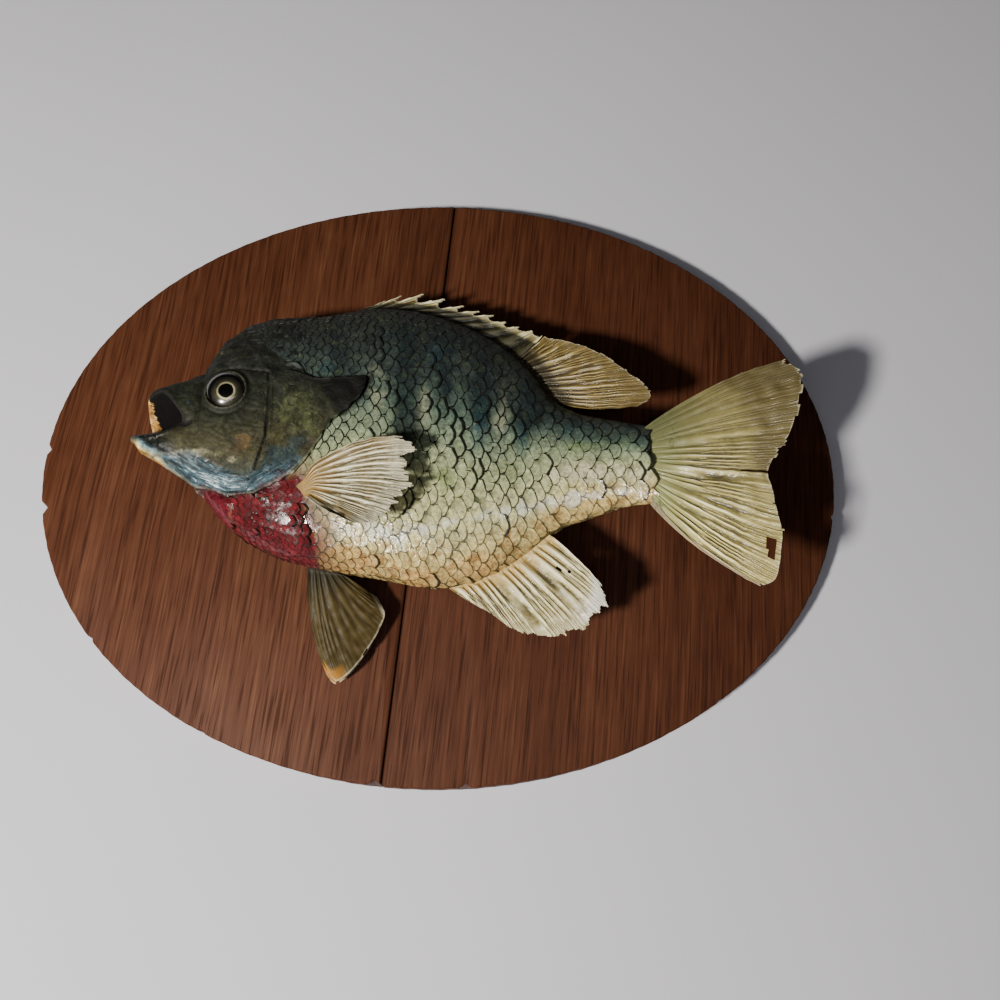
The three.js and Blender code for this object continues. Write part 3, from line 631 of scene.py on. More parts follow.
relief = head_relief(flat_x, flat_z, skin_points)
lips_only = smooth(0.6, -3, mouth_depth)
skin_points = skin_points + grid_normals(skin_points) * (relief * lips_only)[..., None]
eye_distance = np.full(flat_x.shape, NO_EYE)
for side in (1, -1):
    centre, look = eye_frame(side)
    ahead = (skin_points - centre) @ look
    away = np.linalg.norm(skin_points - centre - ahead[..., None] * look, axis=-1)
    facing = ahead > -1
    # The socket is sunk flat, with a raised lid round it and a low furrow round the lid.
    sink = smooth(6.5, 5.5, away) * (ahead + 2.4) * facing
    lid = (0.95 * np.exp(-((away - 6.7) / 0.75) ** 2) - 0.35 * np.exp(-((away - 8.3) / 0.7) ** 2)) * facing
    skin_points = skin_points + look * (lid - sink)[..., None]
    eye_distance = np.where(facing, np.minimum(eye_distance, away), eye_distance)
print("deepest push", round(float(relief.min()), 1), "mm, highest", round(float(relief.max()), 1), "mm")

# %% [markdown]
# ## Gill covers
# The gill cover is a bony plate under the skin. It grows out of the cheek at its front crease, and its rear
# edge, with the black ear flap, lies free over the first scales. A push of the skin could not overhang, so
# each cover is a thin closed plate whose front is buried in the head and whose rear edge stands clear.

# %% Gill covers as overlapping plates


def even_steps(line, count):
    """Points at even distances along a line given as a function of 0 to 1."""
    dense = line(np.linspace(0, 1, 600))
    walked = np.concatenate([[0], np.cumsum(np.linalg.norm(np.diff(dense, axis=0), axis=1))])
    where = np.linspace(0, walked[-1], count)
    return np.stack([np.interp(where, walked, dense[:, k]) for k in range(dense.shape[1])], -1)


COVER_ROWS, COVER_STEPS = 150, 50


def gill_cover(side):
    """Points and near view coordinates of one gill cover: a front grid and then a back grid."""
    rear = even_steps(spline(GILL_REAR), COVER_ROWS)[:, None]
    front = even_steps(spline(GILL_FRONT), COVER_ROWS)[:, None]
    t = np.linspace(0, 1, COVER_STEPS)[None, :, None] ** 0.8
    flat = front + (rear - front) * t
    flat = flat + 0.22 * np.stack([waves(flat, 3.2, 21), waves(flat, 3.2, 22)], -1) * smooth(0.8, 1, t)
    x, z, t = flat[..., 0], flat[..., 1], t[..., 0]
    share = np.linspace(0, 1, COVER_ROWS)[:, None]
    merged = smooth(0, 0.1, share) * smooth(1, 0.86, share)
    proud = -0.35 + (0.35 + 0.95 * merged) * smooth(0, 0.3, t)
    proud = proud + 0.14 * waves(flat, 6, 23) * smooth(0, 0.3, t)
    proud = proud + 0.15 * smooth(0.86, 1, t) * merged * (z > 8)
    round_off = 0.4 * smooth(0.955, 1, t) ** 2
    under = np.minimum(proud - 0.75, -0.75 + 1.0 * smooth(0.75, 0.92, t))
    points = [flank_place(x, z, side, s, GAP + 0.2) for s in (proud - round_off, under + round_off)]
    return np.array(points).reshape(-1, 3), np.tile(x, (2, 1)).ravel(), np.tile(z, (2, 1)).ravel()


rows, columns = flat_x.shape
points = [skin_points.reshape(-1, 3), skin_points[0].mean(0)[None], skin_points[-1].mean(0)[None]]
views = [np.stack([flat_x.ravel(), flat_z.ravel()], -1), [MOUTH_END, TAIL_MIDDLE]]
faces = [grid_faces(rows, columns, wrap=True)]
ring = np.arange(columns)
mouth_middle, tail_middle = rows * columns, rows * columns + 1
faces.append(np.stack([ring, np.roll(ring, -1), np.full(columns, mouth_middle)], -1))
last = ring + (rows - 1) * columns
faces.append(np.stack([np.roll(last, -1), last, np.full(columns, tail_middle)], -1))
in_mouth = [mouth_depth.ravel(), [16, NO_MOUTH]]
from_eye = [eye_distance.ravel(), [NO_EYE, NO_EYE]]
start = rows * columns + 2
for side in (1, -1):
    cover, cover_x, cover_z = gill_cover(side)
    points.append(cover)
    views.append(np.stack([cover_x, cover_z], -1))
    faces.append(plate_faces(COVER_ROWS, COVER_STEPS) + start)
    in_mouth.append(np.full(len(cover), NO_MOUTH))
    from_eye.append(np.full(len(cover), NO_EYE))
    start += len(cover)
views = np.concatenate([np.asarray(v, float) for v in views])
skin_marks = landmarks(views[:, 0], views[:, 1])
skin_marks["mouth"] = np.concatenate([np.asarray(v, float) for v in in_mouth])
skin_marks["eye"] = np.concatenate([np.asarray(v, float) for v in from_eye])
# Each crease with what is added to its distance, which makes it thinner above 0 and wider below it.
CREASES = [([BROW_CREASE], 0.3), ([SHOULDER_PIT], -0.4), ([LIP_PIT], -0.6), (CHEEK_CRACKS, -0.15)]
skin_marks["crease"] = np.min([nearest(views[:, 0], views[:, 1], lines) + more for lines, more in CREASES],
                              axis=0)
skin_marks["maxilla"] = line_distance(views[:, 0], views[:, 1], MAXILLA)
# The far lip's inner pad has a row of blunt teeth, which run round the mouth by the ring's angle.
far_lip = smooth(3.3, 3.6, angles) * smooth(6.2, 5.7, angles)
teeth = 0.9 * np.abs((angles * 17 + 1.5 * np.sin(angles * 9)) % 2 - 1)
pad_width = far_lip * (1.7 + 1.5 * smooth(5.6, 4.2, angles) + teeth)
pad = np.minimum(pad_width - mouth_depth - 0.6, mouth_depth + 2.2)
pad = np.where(far_lip > 0.02, pad, NO_PAD)
skin_marks["pad"] = np.concatenate([pad.ravel(), np.full(len(views) - pad.size, NO_PAD)])
all_faces = [face for group in faces for face in group.tolist()]
skin = make_mesh("fish_skin", np.concatenate(points), all_faces, skin_marks)
face_out(skin)
print("skin", len(skin.data.vertices), "points")

# %% [markdown]
# ## Glass eyes
# A taxidermist's eye is a glass dome, painted on its back: a black pupil, a pale iris that is brightest at
# its inner edge, and dark brown round it. It is a profile spun round the eye's axis, with a slight bulge
# where the cornea is, so that it catches a small sharp highlight.

# %% Eyes by spinning a profile
IRIS_OFF = (0.7, 0, -1.1)
EYE_PROFILE = [(0, 0.98), (0.12, 0.978), (0.24, 0.968), (0.34, 0.95), (0.46, 0.915), (0.58, 0.85),
               (0.68, 0.77), (0.78, 0.665), (0.87, 0.53), (0.94, 0.37), (0.985, 0.18), (1, 0),
               (0.9, -0.42), (0.62, -0.78), (0.3, -0.95), (0, -1)]


def spun_eye(name, side):
    """One eye: the profile spun round Z, then turned and moved to its socket."""
    bpy.ops.object.select_all(action="DESELECT")
    mesh = bpy.data.meshes.new(name)
    profile = [(r * EYE_RADIUS * MM, 0, h * EYE_DEPTH * MM) for r, h in EYE_PROFILE]
    mesh.from_pydata(profile, [(i, i + 1) for i in range(len(profile) - 1)], [])
    eye = bpy.data.objects.new(name, mesh)
    bpy.context.collection.objects.link(eye)
    bpy.context.view_layer.objects.active = eye
    eye.select_set(True)
    bpy.ops.object.mode_set(mode="EDIT")
    bpy.ops.mesh.select_all(action="SELECT")
    bpy.ops.mesh.spin(steps=48, angle=2 * math.pi, center=(0, 0, 0), axis=(0, 0, 1))
    bpy.ops.object.mode_set(mode="OBJECT")
    face_out(eye)
    centre, look = eye_frame(side)
    turn = Vector(look).to_track_quat("Z", "Y").to_matrix().to_4x4()
    mesh.transform(Matrix.Translation(Vector(centre) * MM) @ turn)
    # The iris is painted a little low and to the rear, so the fish looks back and down.
    away = np.array([v.co / MM for v in mesh.vertices]) - centre - IRIS_OFF
    away -= (away @ look)[:, None] * look
    mesh.attributes.new("radius", "FLOAT", "POINT").data.foreach_set("value", np.linalg.norm(away, axis=1))
    mesh.shade_smooth()
    return eye


eyes = [spun_eye("glass_eye_near", 1), spun_eye("glass_eye_far", -1)]
print("eyes", EYE_RADIUS * 2, "mm across")

# %% [markdown]
# ## Scales
# A bluegill has about forty rows of scales from gill to tail. Each is a thin plate rooted toward the head,
# with a rounded rear edge that overlaps the next row like a roof tile. One plate of a few dozen faces is
# laid over the body again and again: columns run up the flank, each shifted by half a scale, and the
# distances are measured over the skin itself, so the plates keep their size on every curve. They are
# joined into one mesh for each side, because thousands of separate objects would be slow.

# %% Distances over the skin
X_STEPS, QUARTER_STEPS = 300, 120
X_TABLE = np.linspace(SNOUT, TAIL_ROOT, X_STEPS + 1)
ANGLE_TABLE = np.linspace(0, math.pi, 2 * QUARTER_STEPS + 1)
section_z, section_n = section(X_TABLE[:, None], ANGLE_TABLE[None, :])
walked = np.cumsum(np.hypot(np.diff(section_z, axis=1), np.diff(section_n, axis=1)), axis=1)
walked = np.concatenate([np.zeros((len(X_TABLE), 1)), walked], axis=1)
ABOVE_MIDDLE = walked[:, [QUARTER_STEPS]] - walked  # mm over the skin above the flank's widest line
TO_BACK, TO_BELLY = ABOVE_MIDDLE[:, 0], ABOVE_MIDDLE[:, -1]


def angle_at(x, above):
    """The section's angle at x, for a distance over the skin above the flank's widest line."""
    where = np.clip((x - SNOUT) / (TAIL_ROOT - SNOUT) * X_STEPS, 0, X_STEPS - 0.001)
    index = where.astype(int)
    share = where - index
    angle = np.zeros(np.shape(x))
    for i in np.unique(index):
        here = index == i
        low = np.interp(-above[here], -ABOVE_MIDDLE[i], ANGLE_TABLE)
        high = np.interp(-above[here], -ABOVE_MIDDLE[i + 1], ANGLE_TABLE)
        angle[here] = low + (high - low) * share[here]
    return angle


print("greatest half girth:", round(float((TO_BACK - TO_BELLY).max()), 1), "mm")

# %% One scale, and where scales grow
SCALE_STEPS, SCALE_ACROSS = 4, 8
u_scale, w_scale = np.meshgrid(np.linspace(0, 1, SCALE_STEPS + 1), np.linspace(-1, 1, SCALE_ACROSS + 1),
                               indexing="ij")
SCALE_FACES = plate_faces(SCALE_STEPS + 1, SCALE_ACROSS + 1)


def scale_pitch(x):
    """How far apart the columns stand, and how high a scale is, in mm."""
    along = 2.1 + 0.4 * smooth(-58, -40, x) + 0.4 * smooth(-30, 0, x)
    high = 3.3 + 1.5 * smooth(-58, -36, x) + 2.0 * smooth(-32, 0, x) - 0.6 * smooth(30, 55, x)
    return along, high


FIRST_SCALES, LAST_SCALES, MOST_ROWS = -67.0, 72.0, 16


def scale_sites(rng):
    """x and height over the middle line of each scale's rear tip, with its own pitch and height."""
    sites = []
    x, column = FIRST_SCALES, 0
    while x < LAST_SCALES:
        along, high = scale_pitch(x)
        low, top = np.interp(x, X_TABLE, TO_BELLY), np.interp(x, X_TABLE, TO_BACK)
        for row in range(-MOST_ROWS, MOST_ROWS + 1):
            j = row + 0.5 * (column % 2)
            above = high * math.copysign(abs(j) - 0.02 * max(0, abs(j) - 4.5) ** 2, j)
            shrink = 1 - 0.04 * max(0, abs(j) - 4.5)  # scales get smaller toward back and belly
            if low - 0.3 < above < top - 1.2:
                lean = x - 0.045 * above + 0.5 * math.sin(above * 0.11 + x * 0.07)
                sites.append((lean, above, along * (0.55 + 0.45 * shrink), high * shrink))
        x += along
        column += 1
    sites = np.array(sites)
    drift = np.stack([waves(sites[:, :2], 17, 51), waves(sites[:, :2], 13, 52)], -1)
    sites[:, :2] += drift * (0.7, 0.5) + rng.normal(0, (0.12, 0.08), (len(sites), 2))
    return sites


SCALE_LIFT, SCALE_THICK = 0.27, 0.3


def both_faces(values):
    """Values for the front grid and again for the back grid of every plate."""
    return np.stack([values, values], 1).ravel()


def scale_plates(side, sites, rng):
    """Points and attributes of many scales on one side, each a front grid and then a back grid."""
    count = len(sites)
    x0, above, along, high = (sites[:, k, None, None] for k in range(4))
    tip_x, tip_z = flank_flat(sites[:, 0], sites[:, 1])
    gap = nearest(tip_x, tip_z, FLANK_CRACKS + [TAIL_CRACK])
    loose = np.maximum(smooth(2.3, 1.1, gap), rng.uniform(0, 1, count) > 0.97)[:, None, None]
    tilt, size = rng.uniform(0.6, 1.3, (count, 1, 1)), rng.normal(1, 0.02, (count, 1, 1))
    u, w = u_scale[None], w_scale[None]
    ragged = 0.03 * along * rng.normal(0, 1, (count, 1, SCALE_ACROSS + 1))
    skew = rng.normal(0, 0.12, (count, 1, 1))
    side_on = np.abs(w - skew * (1 - w * w))
    rear = x0 - along * (0.14 * side_on ** 2 + 0.38 * smooth(0.1, 1.05, side_on)) + ragged
    front = x0 - 2.1 * along
    x = front + (rear - front) * u
    half = 0.52 * high * size * (0.75 + 0.25 * np.minimum(u * 4, 1))
    y = above + w * half + rng.normal(0, 0.03, (count, 1, 1)) * high * u
    flat_xy = flank_flat(x, y)
    rock = rng.normal(0, 0.035, (count, 1, 1)) * half * w
    raised = SCALE_LIFT * tilt * (-0.5 + 1.5 * u) * (1 - 0.06 * w * w) + 0.45 * loose * u * u + rock * u
    from_back = np.interp(sites[:, 0], X_TABLE, TO_BACK) - sites[:, 1]
    raised = raised * (1 - 0.6 * smooth(9, 3, from_back)[:, None, None])
    angle = angle_at(x, y)
    plates = []
    for swell in (raised - COAT, raised - COAT - SCALE_THICK):
        z, n = section(x, angle, swell)
        plates.append(in_fish(x, z, side * n, GAP + 0.25 + 0.5 * np.maximum(raised, 0)))
    points = np.stack(plates, 1).reshape(-1, 3)
    marks = landmarks(both_faces(flat_xy[0]), both_faces(flat_xy[1]))
    marks |= {"mouth": np.full(len(points), NO_MOUTH), "crease": np.full(len(points), 9.0)}
    inward = (rear - x) * 0.8
    marks["edge"] = both_faces(np.minimum(inward, half * (1 - np.abs(w)) * 2.2))
    # Loose scales take the crack's dark paint near their rear edge, as painted shade under the lifted edge.
    marks["crack"] = both_faces(inward + 1 - 1.15 * loose)
    marks["root"] = both_faces((x0 - x) / along)
    marks["tint"] = both_faces(np.broadcast_to(rng.uniform(0, 1, (count, 1, 1)), x.shape))
    # Each plate has a small patch of its own in the map, at its place on the flank.
    u_map = (sites[:, 0] - SNOUT) / (TAIL_ROOT - SNOUT) * 0.96 + 0.02
    v_map = (sites[:, 1] - TO_BELLY.min()) / (TO_BACK.max() - TO_BELLY.min()) * 0.96 + 0.02
    in_map = np.stack([u_map[:, None, None] + (u - 0.5) * 0.003, v_map[:, None, None] + w * 0.0015], -1)
    uv = np.stack([in_map, in_map], 1).reshape(-1, 2)
    return points, marks, uv


def flank_flat(x, above):
    """Where a point of the near flank shows in the view of the landmarks."""
    z, n = section(x, angle_at(x, above))
    slope = mid_height(x + 0.5) - mid_height(x - 0.5)
    return x - n * slope / np.hypot(1, slope), z


def joined_scales(name, side, sites, seed):
    """One mesh of all the scales of a side."""
    rng = np.random.default_rng(seed)
    points, marks, uv = scale_plates(side, sites, rng)
    per_scale = 2 * u_scale.size
    starts = np.arange(len(sites)) * per_scale
    faces = (SCALE_FACES[None] + starts[:, None, None]).reshape(-1, 4)
    piece = make_mesh(name, points, faces.tolist(), marks, uv, "OFBake")
    face_out(piece)
    print(name, len(sites), "scales")
    return piece


# %% Scales of both flanks


def off_the_head(sites):
    """Leaves out sites on the bare head, ahead of where the scales begin."""
    x, z = flank_flat(sites[:, 0], sites[:, 1])
    return sites[x > scales_begin(z)]


scale_pieces = []
for side, label in ((1, "near"), (-1, "far")):
    rng = np.random.default_rng(40 + side)
    sites = off_the_head(scale_sites(rng))
    scale_pieces.append(joined_scales("scales_" + label, side, sites, 7 + side))

# %% [markdown]
# ## Paint and varnish of the fish
# Skin loses its colours when it dries, so the taxidermist paints them back in thin layers and varnishes the
# whole. Skin and scales share one paint: a ramp from the tan belly to the dark back, then patches, then the
# sharp shapes of ear flap and throat, each broken up by noise as a sponge or brush would. The varnish shows
# as low roughness where it lies thick, and what dried unevenly under it shows as bump. Shade in creases,
# cracks and the gaps between scales, and a few highlights, are painted into the colour as well.

# %% Colours of the body paint
BELLY_TO_BACK = [(0.0, "#ae9962"), (0.08, "#b8aa74"), (0.2, "#aca97c"), (0.34, "#969c76"), (0.46, "#727e66"),
                 (0.56, "#4a594f"), (0.68, "#303b37"), (0.84, "#272c28"), (1.0, "#24231d")]
HEAD_BY_HEIGHT = [(-22, "#2b3839"), (-14, "#353a31"), (-8, "#3b3822"), (-1, "#2f2d1b"), (6, "#24261a"),
                  (15, "#1d2017"), (24, "#1b1d18"), (46, "#1b1b18")]
JAW_FROM_EDGE = [(0.0, "#8a5222"), (0.05, "#8c6f36"), (0.12, "#a89c6e"), (0.22, "#8f967f"), (0.31, "#728e96"),
                 (0.4, "#344346"), (0.5, "#121718"), (1.0, "#17190f")]
# The palest streak colour is also the colour of the painted glare.
BAND_STREAKS = [(0.3, "#070b0d"), (0.43, "#18262d"), (0.54, "#2f4650"), (0.64, "#5d7984"), (0.7, "#c6d2d4")]
LIP_TAN = [(0.32, "#5f3f1c"), (0.5, "#a3783c"), (0.66, "#cdae74")]
# Thin layers: the patches that each follows, its colour and how well it covers.
LAYERS = [("pale", "#93967a", 0.6), ("dark", "#162022", 0.85), ("blue", "#2b4c52", 0.38),
          ("green", "#66773f", 0.5), ("warm", "#a0733a", 0.5), ("cream", "#bab696", 0.85)]
HEAD_LAYERS = [("green", "#42472b", 0.6), ("warm", "#4c3a1f", 0.65), ("cream", "#7d7a63", 0.65),
               ("steel", "#20363c", 0.75)]
# Sharp shapes: the attribute, where it is bare and where it is full in mm, the waver in mm and the colour.
# The throat mixes its own reds.
# The crease and crack colours are painted shade: the dark inside creases, pits and cracks between scales.
SHAPES = [("ear", 1.2, -1.0, 1.2, "#0b0907"), ("red", 1.8, -1.2, 1.6, None),
          ("crease", 0.75, 0.1, 0.25, "#12110d"), ("crack", 0.6, 0.25, 0.15, "#0c0e0b")]
# The noises that break the paint up, coarse to fine: seed, size of the lumps in mm, detail and roughness.
MOTTLES = [(0, 9, 3, 0.55), (1, 2.6, 4, 0.6), (2, 0.85, 4, 0.6), (3, 0.45, 2, 0.6)]
print("paint:", len(LAYERS) + len(HEAD_LAYERS), "layers,", len(SHAPES), "sharp shapes")

# %% Ground, head and jaw


def ground_paint(tree, mark, broad, middle, breakup):
    """The ramp from the belly to the back, with its level broken up, and the airbrushed patches over it."""
    level = add(tree, "Math", broad, 0.16, mark["level"], **TIMES_PLUS)
    level = add(tree, "Math", middle, 0.1, level, **TIMES_PLUS)
    paint = add(tree, "ValToRGB", add(tree, "MapRange", level, 0.13, 1.13), stops=BELLY_TO_BACK)
    for key, code, strength in LAYERS:
        cover = add(tree, "Math", mark[key], breakup, **PLUS)
        cover = add(tree, "MapRange", cover, 0.18, 0.82, 0.0, strength, **SOFT)
        paint = add(tree, "Mix", cover, paint, code, **COLOURS)
    return paint


def jaw_cover(tree, mark):
    """How well the lower jaw's own colours cover: only at the front, near its edge."""
    in_front = add(tree, "MapRange", mark["along"], -84.0, -88.5, **SOFT)
    above = add(tree, "MapRange", mark["jaw"], 8.5, 6.5, **SOFT)
    below = add(tree, "MapRange", mark["jaw"], -1.6, -0.4, **SOFT)
    return add(tree, "Math", add(tree, "Math", in_front, above, **TIMES), below, **TIMES)


def head_paint(tree, mark, broad, fine, breakup, on_jaw, paint):
    """The head's tones by height, the jaw's by the distance from its edge, and patches over both."""
    low, high = HEAD_BY_HEIGHT[0][0], HEAD_BY_HEIGHT[-1][0]
    height = add(tree, "Math", broad, 7.0, mark["high"], **TIMES_PLUS)
    height = add(tree, "MapRange", height, low + 3.5, high + 3.5)
    stops = [((z - low) / (high - low), code) for z, code in HEAD_BY_HEIGHT]
    on_head = add(tree, "MapRange", mark["head"], 0.6, -0.6, **SOFT)
    paint = add(tree, "Mix", on_head, paint, add(tree, "ValToRGB", height, stops=stops), **COLOURS)
    from_edge = add(tree, "Math", fine, 1.0, mark["jaw"], **TIMES_PLUS)
    from_edge = add(tree, "MapRange", from_edge, 0.5, 7.5)
    paint = add(tree, "Mix", on_jaw, paint, add(tree, "ValToRGB", from_edge, stops=JAW_FROM_EDGE), **COLOURS)
    for key, code, strength in HEAD_LAYERS:
        flecks = add(tree, "Math", fine, 0.9, -0.45, **TIMES_PLUS)
        cover = add(tree, "Math", add(tree, "Math", flecks, mark[key], **PLUS), breakup, **PLUS)
        cover = add(tree, "MapRange", cover, 0.3, 0.8, 0.0, strength, **SOFT)
        paint = add(tree, "Mix", add(tree, "Math", cover, on_head, **TIMES), paint, code, **COLOURS)
    return paint


def band_paint(tree, mark, broad, paint):
    """Under the cheek: blue streaks along the jaw's edge with painted glare, and a thin pale rim at the edge.
    """
    streak_at = add(tree, "CombineXYZ", mark["jaw"], add(tree, "Math", mark["along"], 0.14, **TIMES))
    streaks = add(tree, "TexNoise", streak_at, 4.0, 1.5, 5.0, 0.75, None, 0.6, **NOISE_4D)
    # The glare patches push the streaks toward their palest colour: a painted highlight.
    streaks = add(tree, "Math", mark["glare"], 0.17, streaks, **TIMES_PLUS)
    blue = add(tree, "ValToRGB", streaks, stops=BAND_STREAKS)
    in_band = add(tree, "Math", broad, 2.4, mark["band"], **TIMES_PLUS)
    in_band = add(tree, "MapRange", in_band, 2.4, 0.2, 0.0, 0.85, **SOFT)
    in_band = add(tree, "Math", in_band, add(tree, "MapRange", mark["jaw"], -0.1, 0.2), **TIMES)
    paint = add(tree, "Mix", in_band, paint, blue, **COLOURS)
    rim = add(tree, "MapRange", add(tree, "Math", mark["jaw"], -0.35, **PLUS), 0.55, 0.1, 0.0, 0.6, **SOFT)
    return add(tree, "Mix", add(tree, "Math", rim, in_band, **TIMES), paint, "#9a9c86", **COLOURS)


print("head tones:", len(HEAD_BY_HEIGHT), "jaw tones:", len(JAW_FROM_EDGE))

# %% Details of the bare skin


def buried_rings(tree, mark, place, fine):
    """Scales buried under the skin of the gill cover, which show as faint dark rings."""
    warped = add(tree, "TexNoise", place, 8.0, MM_SCALE / 1.8, 2.0, out="Color", **NOISE_4D)
    warped = add(tree, "VectorMath", warped, (2.6 * MM, 2.6 * MM, 2.6 * MM), place, **TIMES_PLUS)
    cells = add(tree, "TexVoronoi", warped, MM_SCALE * 2 / 4.4, None, None, None, 0.9, feature="F1")
    cells = add(tree, "Math", add(tree, "Math", cells, -0.4, **PLUS), operation="ABSOLUTE")
    rings = add(tree, "MapRange", cells, 0.09, 0.02, **SOFT)
    on_cover = add(tree, "MapRange", mark["along"], -61.0, -57.0)
    off_ear = add(tree, "MapRange", mark["ear"], 0.0, 2.0)
    shown = add(tree, "MapRange", fine, 0.42, 0.58, 0.0, 0.75)
    rings = add(tree, "Math", rings, add(tree, "Math", on_cover, off_ear, **TIMES), **TIMES)
    return add(tree, "Math", rings, shown, **TIMES)


def skin_details(tree, mark, fine, paint):
    """Painted shade under the scales and round and in the eye sockets, the upper jaw's line, lips and mouth.
    """
    # Where scales cover the skin, it is painted dark as the shade in the gaps between them.
    shade_under_scales = add(tree, "MapRange", mark["head"], 1.2, 2.2, 0.0, 0.7)
    shadowed = add(tree, "MapRange", mark["eye"], 12.5, 9.0, 0.0, 0.5, **SOFT)
    # The rim of the socket is a thin pale fold, partly a painted highlight. Round it, and in the socket
    # below the glass, shade is painted dark.
    fold = add(tree, "Math", add(tree, "Math", mark["eye"], -6.75, **PLUS), operation="ABSOLUTE")
    fold = add(tree, "MapRange", fold, 0.5, 0.15, 0.0, 0.45, **SOFT)
    socket = add(tree, "MapRange", mark["eye"], 6.3, 5.9)
    lined = add(tree, "MapRange", mark["maxilla"], 0.5, 0.15, 0.0, 0.45, **SOFT)
    # Inside the mouth it is painted black as shade, and the far lip shows its tan inner pad.
    lips = add(tree, "MapRange", mark["mouth"], -3.2, 0.0, 0.0, 0.85, **SOFT)
    in_mouth = add(tree, "MapRange", mark["mouth"], 0.6, 1.8, **SOFT)
    on_pad = add(tree, "MapRange", mark["pad"], -0.3, 0.3, **SOFT)
    tan = add(tree, "ValToRGB", fine, stops=LIP_TAN)
    for cover, code in ((shade_under_scales, "#12130f"), (shadowed, "#15170f"), (fold, "#4c4a39"),
                        (socket, "#0b0907"), (lined, "#33332a"), (lips, "#12110c"), (in_mouth, "#060403"),
                        (on_pad, tan)):
        paint = add(tree, "Mix", cover, paint, code, **COLOURS)
    return paint


print("skin details ready")

# %% Details of the scales


def flank_details(tree, mark, middle, fine, rust, paint):
    """A pale line along the lower flank, partly a painted highlight, rust droplets on the belly and the
    brown blush behind the throat.
    """
    # The pale line is painted partly as the varnish's highlight along the flank.
    wavering = add(tree, "Math", middle, 5.0, mark["silver_sheen"], **TIMES_PLUS)
    silver_sheen = add(tree, "Math", wavering, add(tree, "Math", mark["tint"], 3.0, **TIMES), **PLUS)
    silver_sheen = add(tree, "Math", fine, 5.0, silver_sheen, **TIMES_PLUS)
    silver_sheen = add(tree, "MapRange", silver_sheen, 8.8, 6.0, 0.0, 0.7, **SOFT)
    rust = add(tree, "Math", rust, add(tree, "MapRange", mark["level"], 0.2, 0.06, **SOFT), **TIMES)
    blush = add(tree, "Math", middle, 4.0, mark["red"], **TIMES_PLUS)
    blush = add(tree, "MapRange", blush, 13.0, 2.0, 0.0, 0.9)
    for cover, code in ((silver_sheen, "#d0d1c0"), (rust, "#86552c"), (blush, "#54301f")):
        paint = add(tree, "Mix", cover, paint, code, **COLOURS)
    return paint


def painted_scale_shade(tree, mark, broad, fine, paint):
    """Painted shade in the gap round each scale: strong on the back, fine on the belly, faint on the throat.
    """
    rim_shade = add(tree, "Math", fine, 0.3, mark["edge"], **TIMES_PLUS)
    strength = add(tree, "MapRange", mark["level"], 0.1, 0.5, 0.66, 0.95)
    shade_share = add(tree, "MapRange", mark["red"], -0.7, 0.6, 0.45, 1.15)
    shade_share = add(tree, "Math", shade_share, add(tree, "MapRange", mark["level"], 0.84, 0.97, 1.0, 0.3), **TIMES)
    # The outlines are up to twice as wide in some places as in others.
    bold = add(tree, "MapRange", broad, 0.35, 0.62, 0.02, -0.3)
    outline = add(tree, "MapRange", add(tree, "Math", bold, rim_shade, **PLUS), 0.34, 0.16, **SOFT)
    outline = add(tree, "Math", add(tree, "Math", outline, shade_share, **TIMES), strength, **TIMES)
    paint = add(tree, "Mix", outline, paint, "#171a17", **COLOURS)
    # Where a scale's root lies under the row in front, it is painted dark as shade.
    root_shade = add(tree, "MapRange", mark["root"], 1.05, 1.5, 0.0, 0.4, **SOFT)
    return add(tree, "Mix", root_shade, paint, "#141614", **COLOURS)


def sharp_shapes(tree, mark, middle, fine, paint):
    """Ear flap, red throat, and painted shade in creases and cracks, each with a wavering edge."""
    for key, bare, full, waver, code in SHAPES:
        moved = add(tree, "MapRange", middle, 0.3, 0.7, -waver, waver)
        covered = add(tree, "Math", mark[key], moved, **PLUS)
        covered = add(tree, "MapRange", covered, bare, full, 0.0, 0.93, **SOFT)
        if key == "red":
            code = add(tree, "Mix", add(tree, "MapRange", fine, 0.35, 0.65), "#3c0a13", "#5f151f", **COLOURS)
            pink = add(tree, "MapRange", mark["level"], 0.1, -0.08, 0.0, 0.4, **SOFT)
            code = add(tree, "Mix", pink, code, "#6a2f36", **COLOURS)
        paint = add(tree, "Mix", covered, paint, code, **COLOURS)
    return paint


print("scale details ready")

# %% Varnish, and the whole paint


def varnish(tree, shader, mark, middle, fine, on_jaw, on_scales):
    """Roughness: the varnish is thick and wet on throat, jaw and belly, and thin on the head and back."""
    if on_scales:
        wet = add(tree, "MapRange", mark["level"], 0.75, 0.5, **SOFT)
    else:
        wet = add(tree, "MapRange", mark["band"], 1.5, 0.0, **SOFT)
        low = add(tree, "MapRange", mark["jaw"], 0.3, -0.6, **SOFT)
        wet = add(tree, "Math", wet, add(tree, "Math", on_jaw, low, operation="MAXIMUM"), operation="MAXIMUM")
    # It is worn thin in places on the throat, and mostly worn off just behind it.
    throat = add(tree, "MapRange", mark["red"], 9.0, 5.0)
    behind = add(tree, "Math", throat, add(tree, "MapRange", mark["red"], -0.5, 1.0, 0.22, 0.85), **TIMES)
    worn = add(tree, "Math", add(tree, "MapRange", middle, 0.63, 0.55), behind, **TIMES)
    wet = add(tree, "Math", wet, add(tree, "MapRange", worn, 0.0, 1.0, 1.0, 0.0), **TIMES)
    rough = add(tree, "MapRange", add(tree, "Math", wet, fine, **TIMES), 0.0, 0.5, 0.62, 0.07)
    rough = add(tree, "Math", rough, add(tree, "MapRange", mark["mouth"], 0.0, 1.5, 0.0, 0.4), **PLUS)
    tree.links.new(rough, shader.inputs["Roughness"])


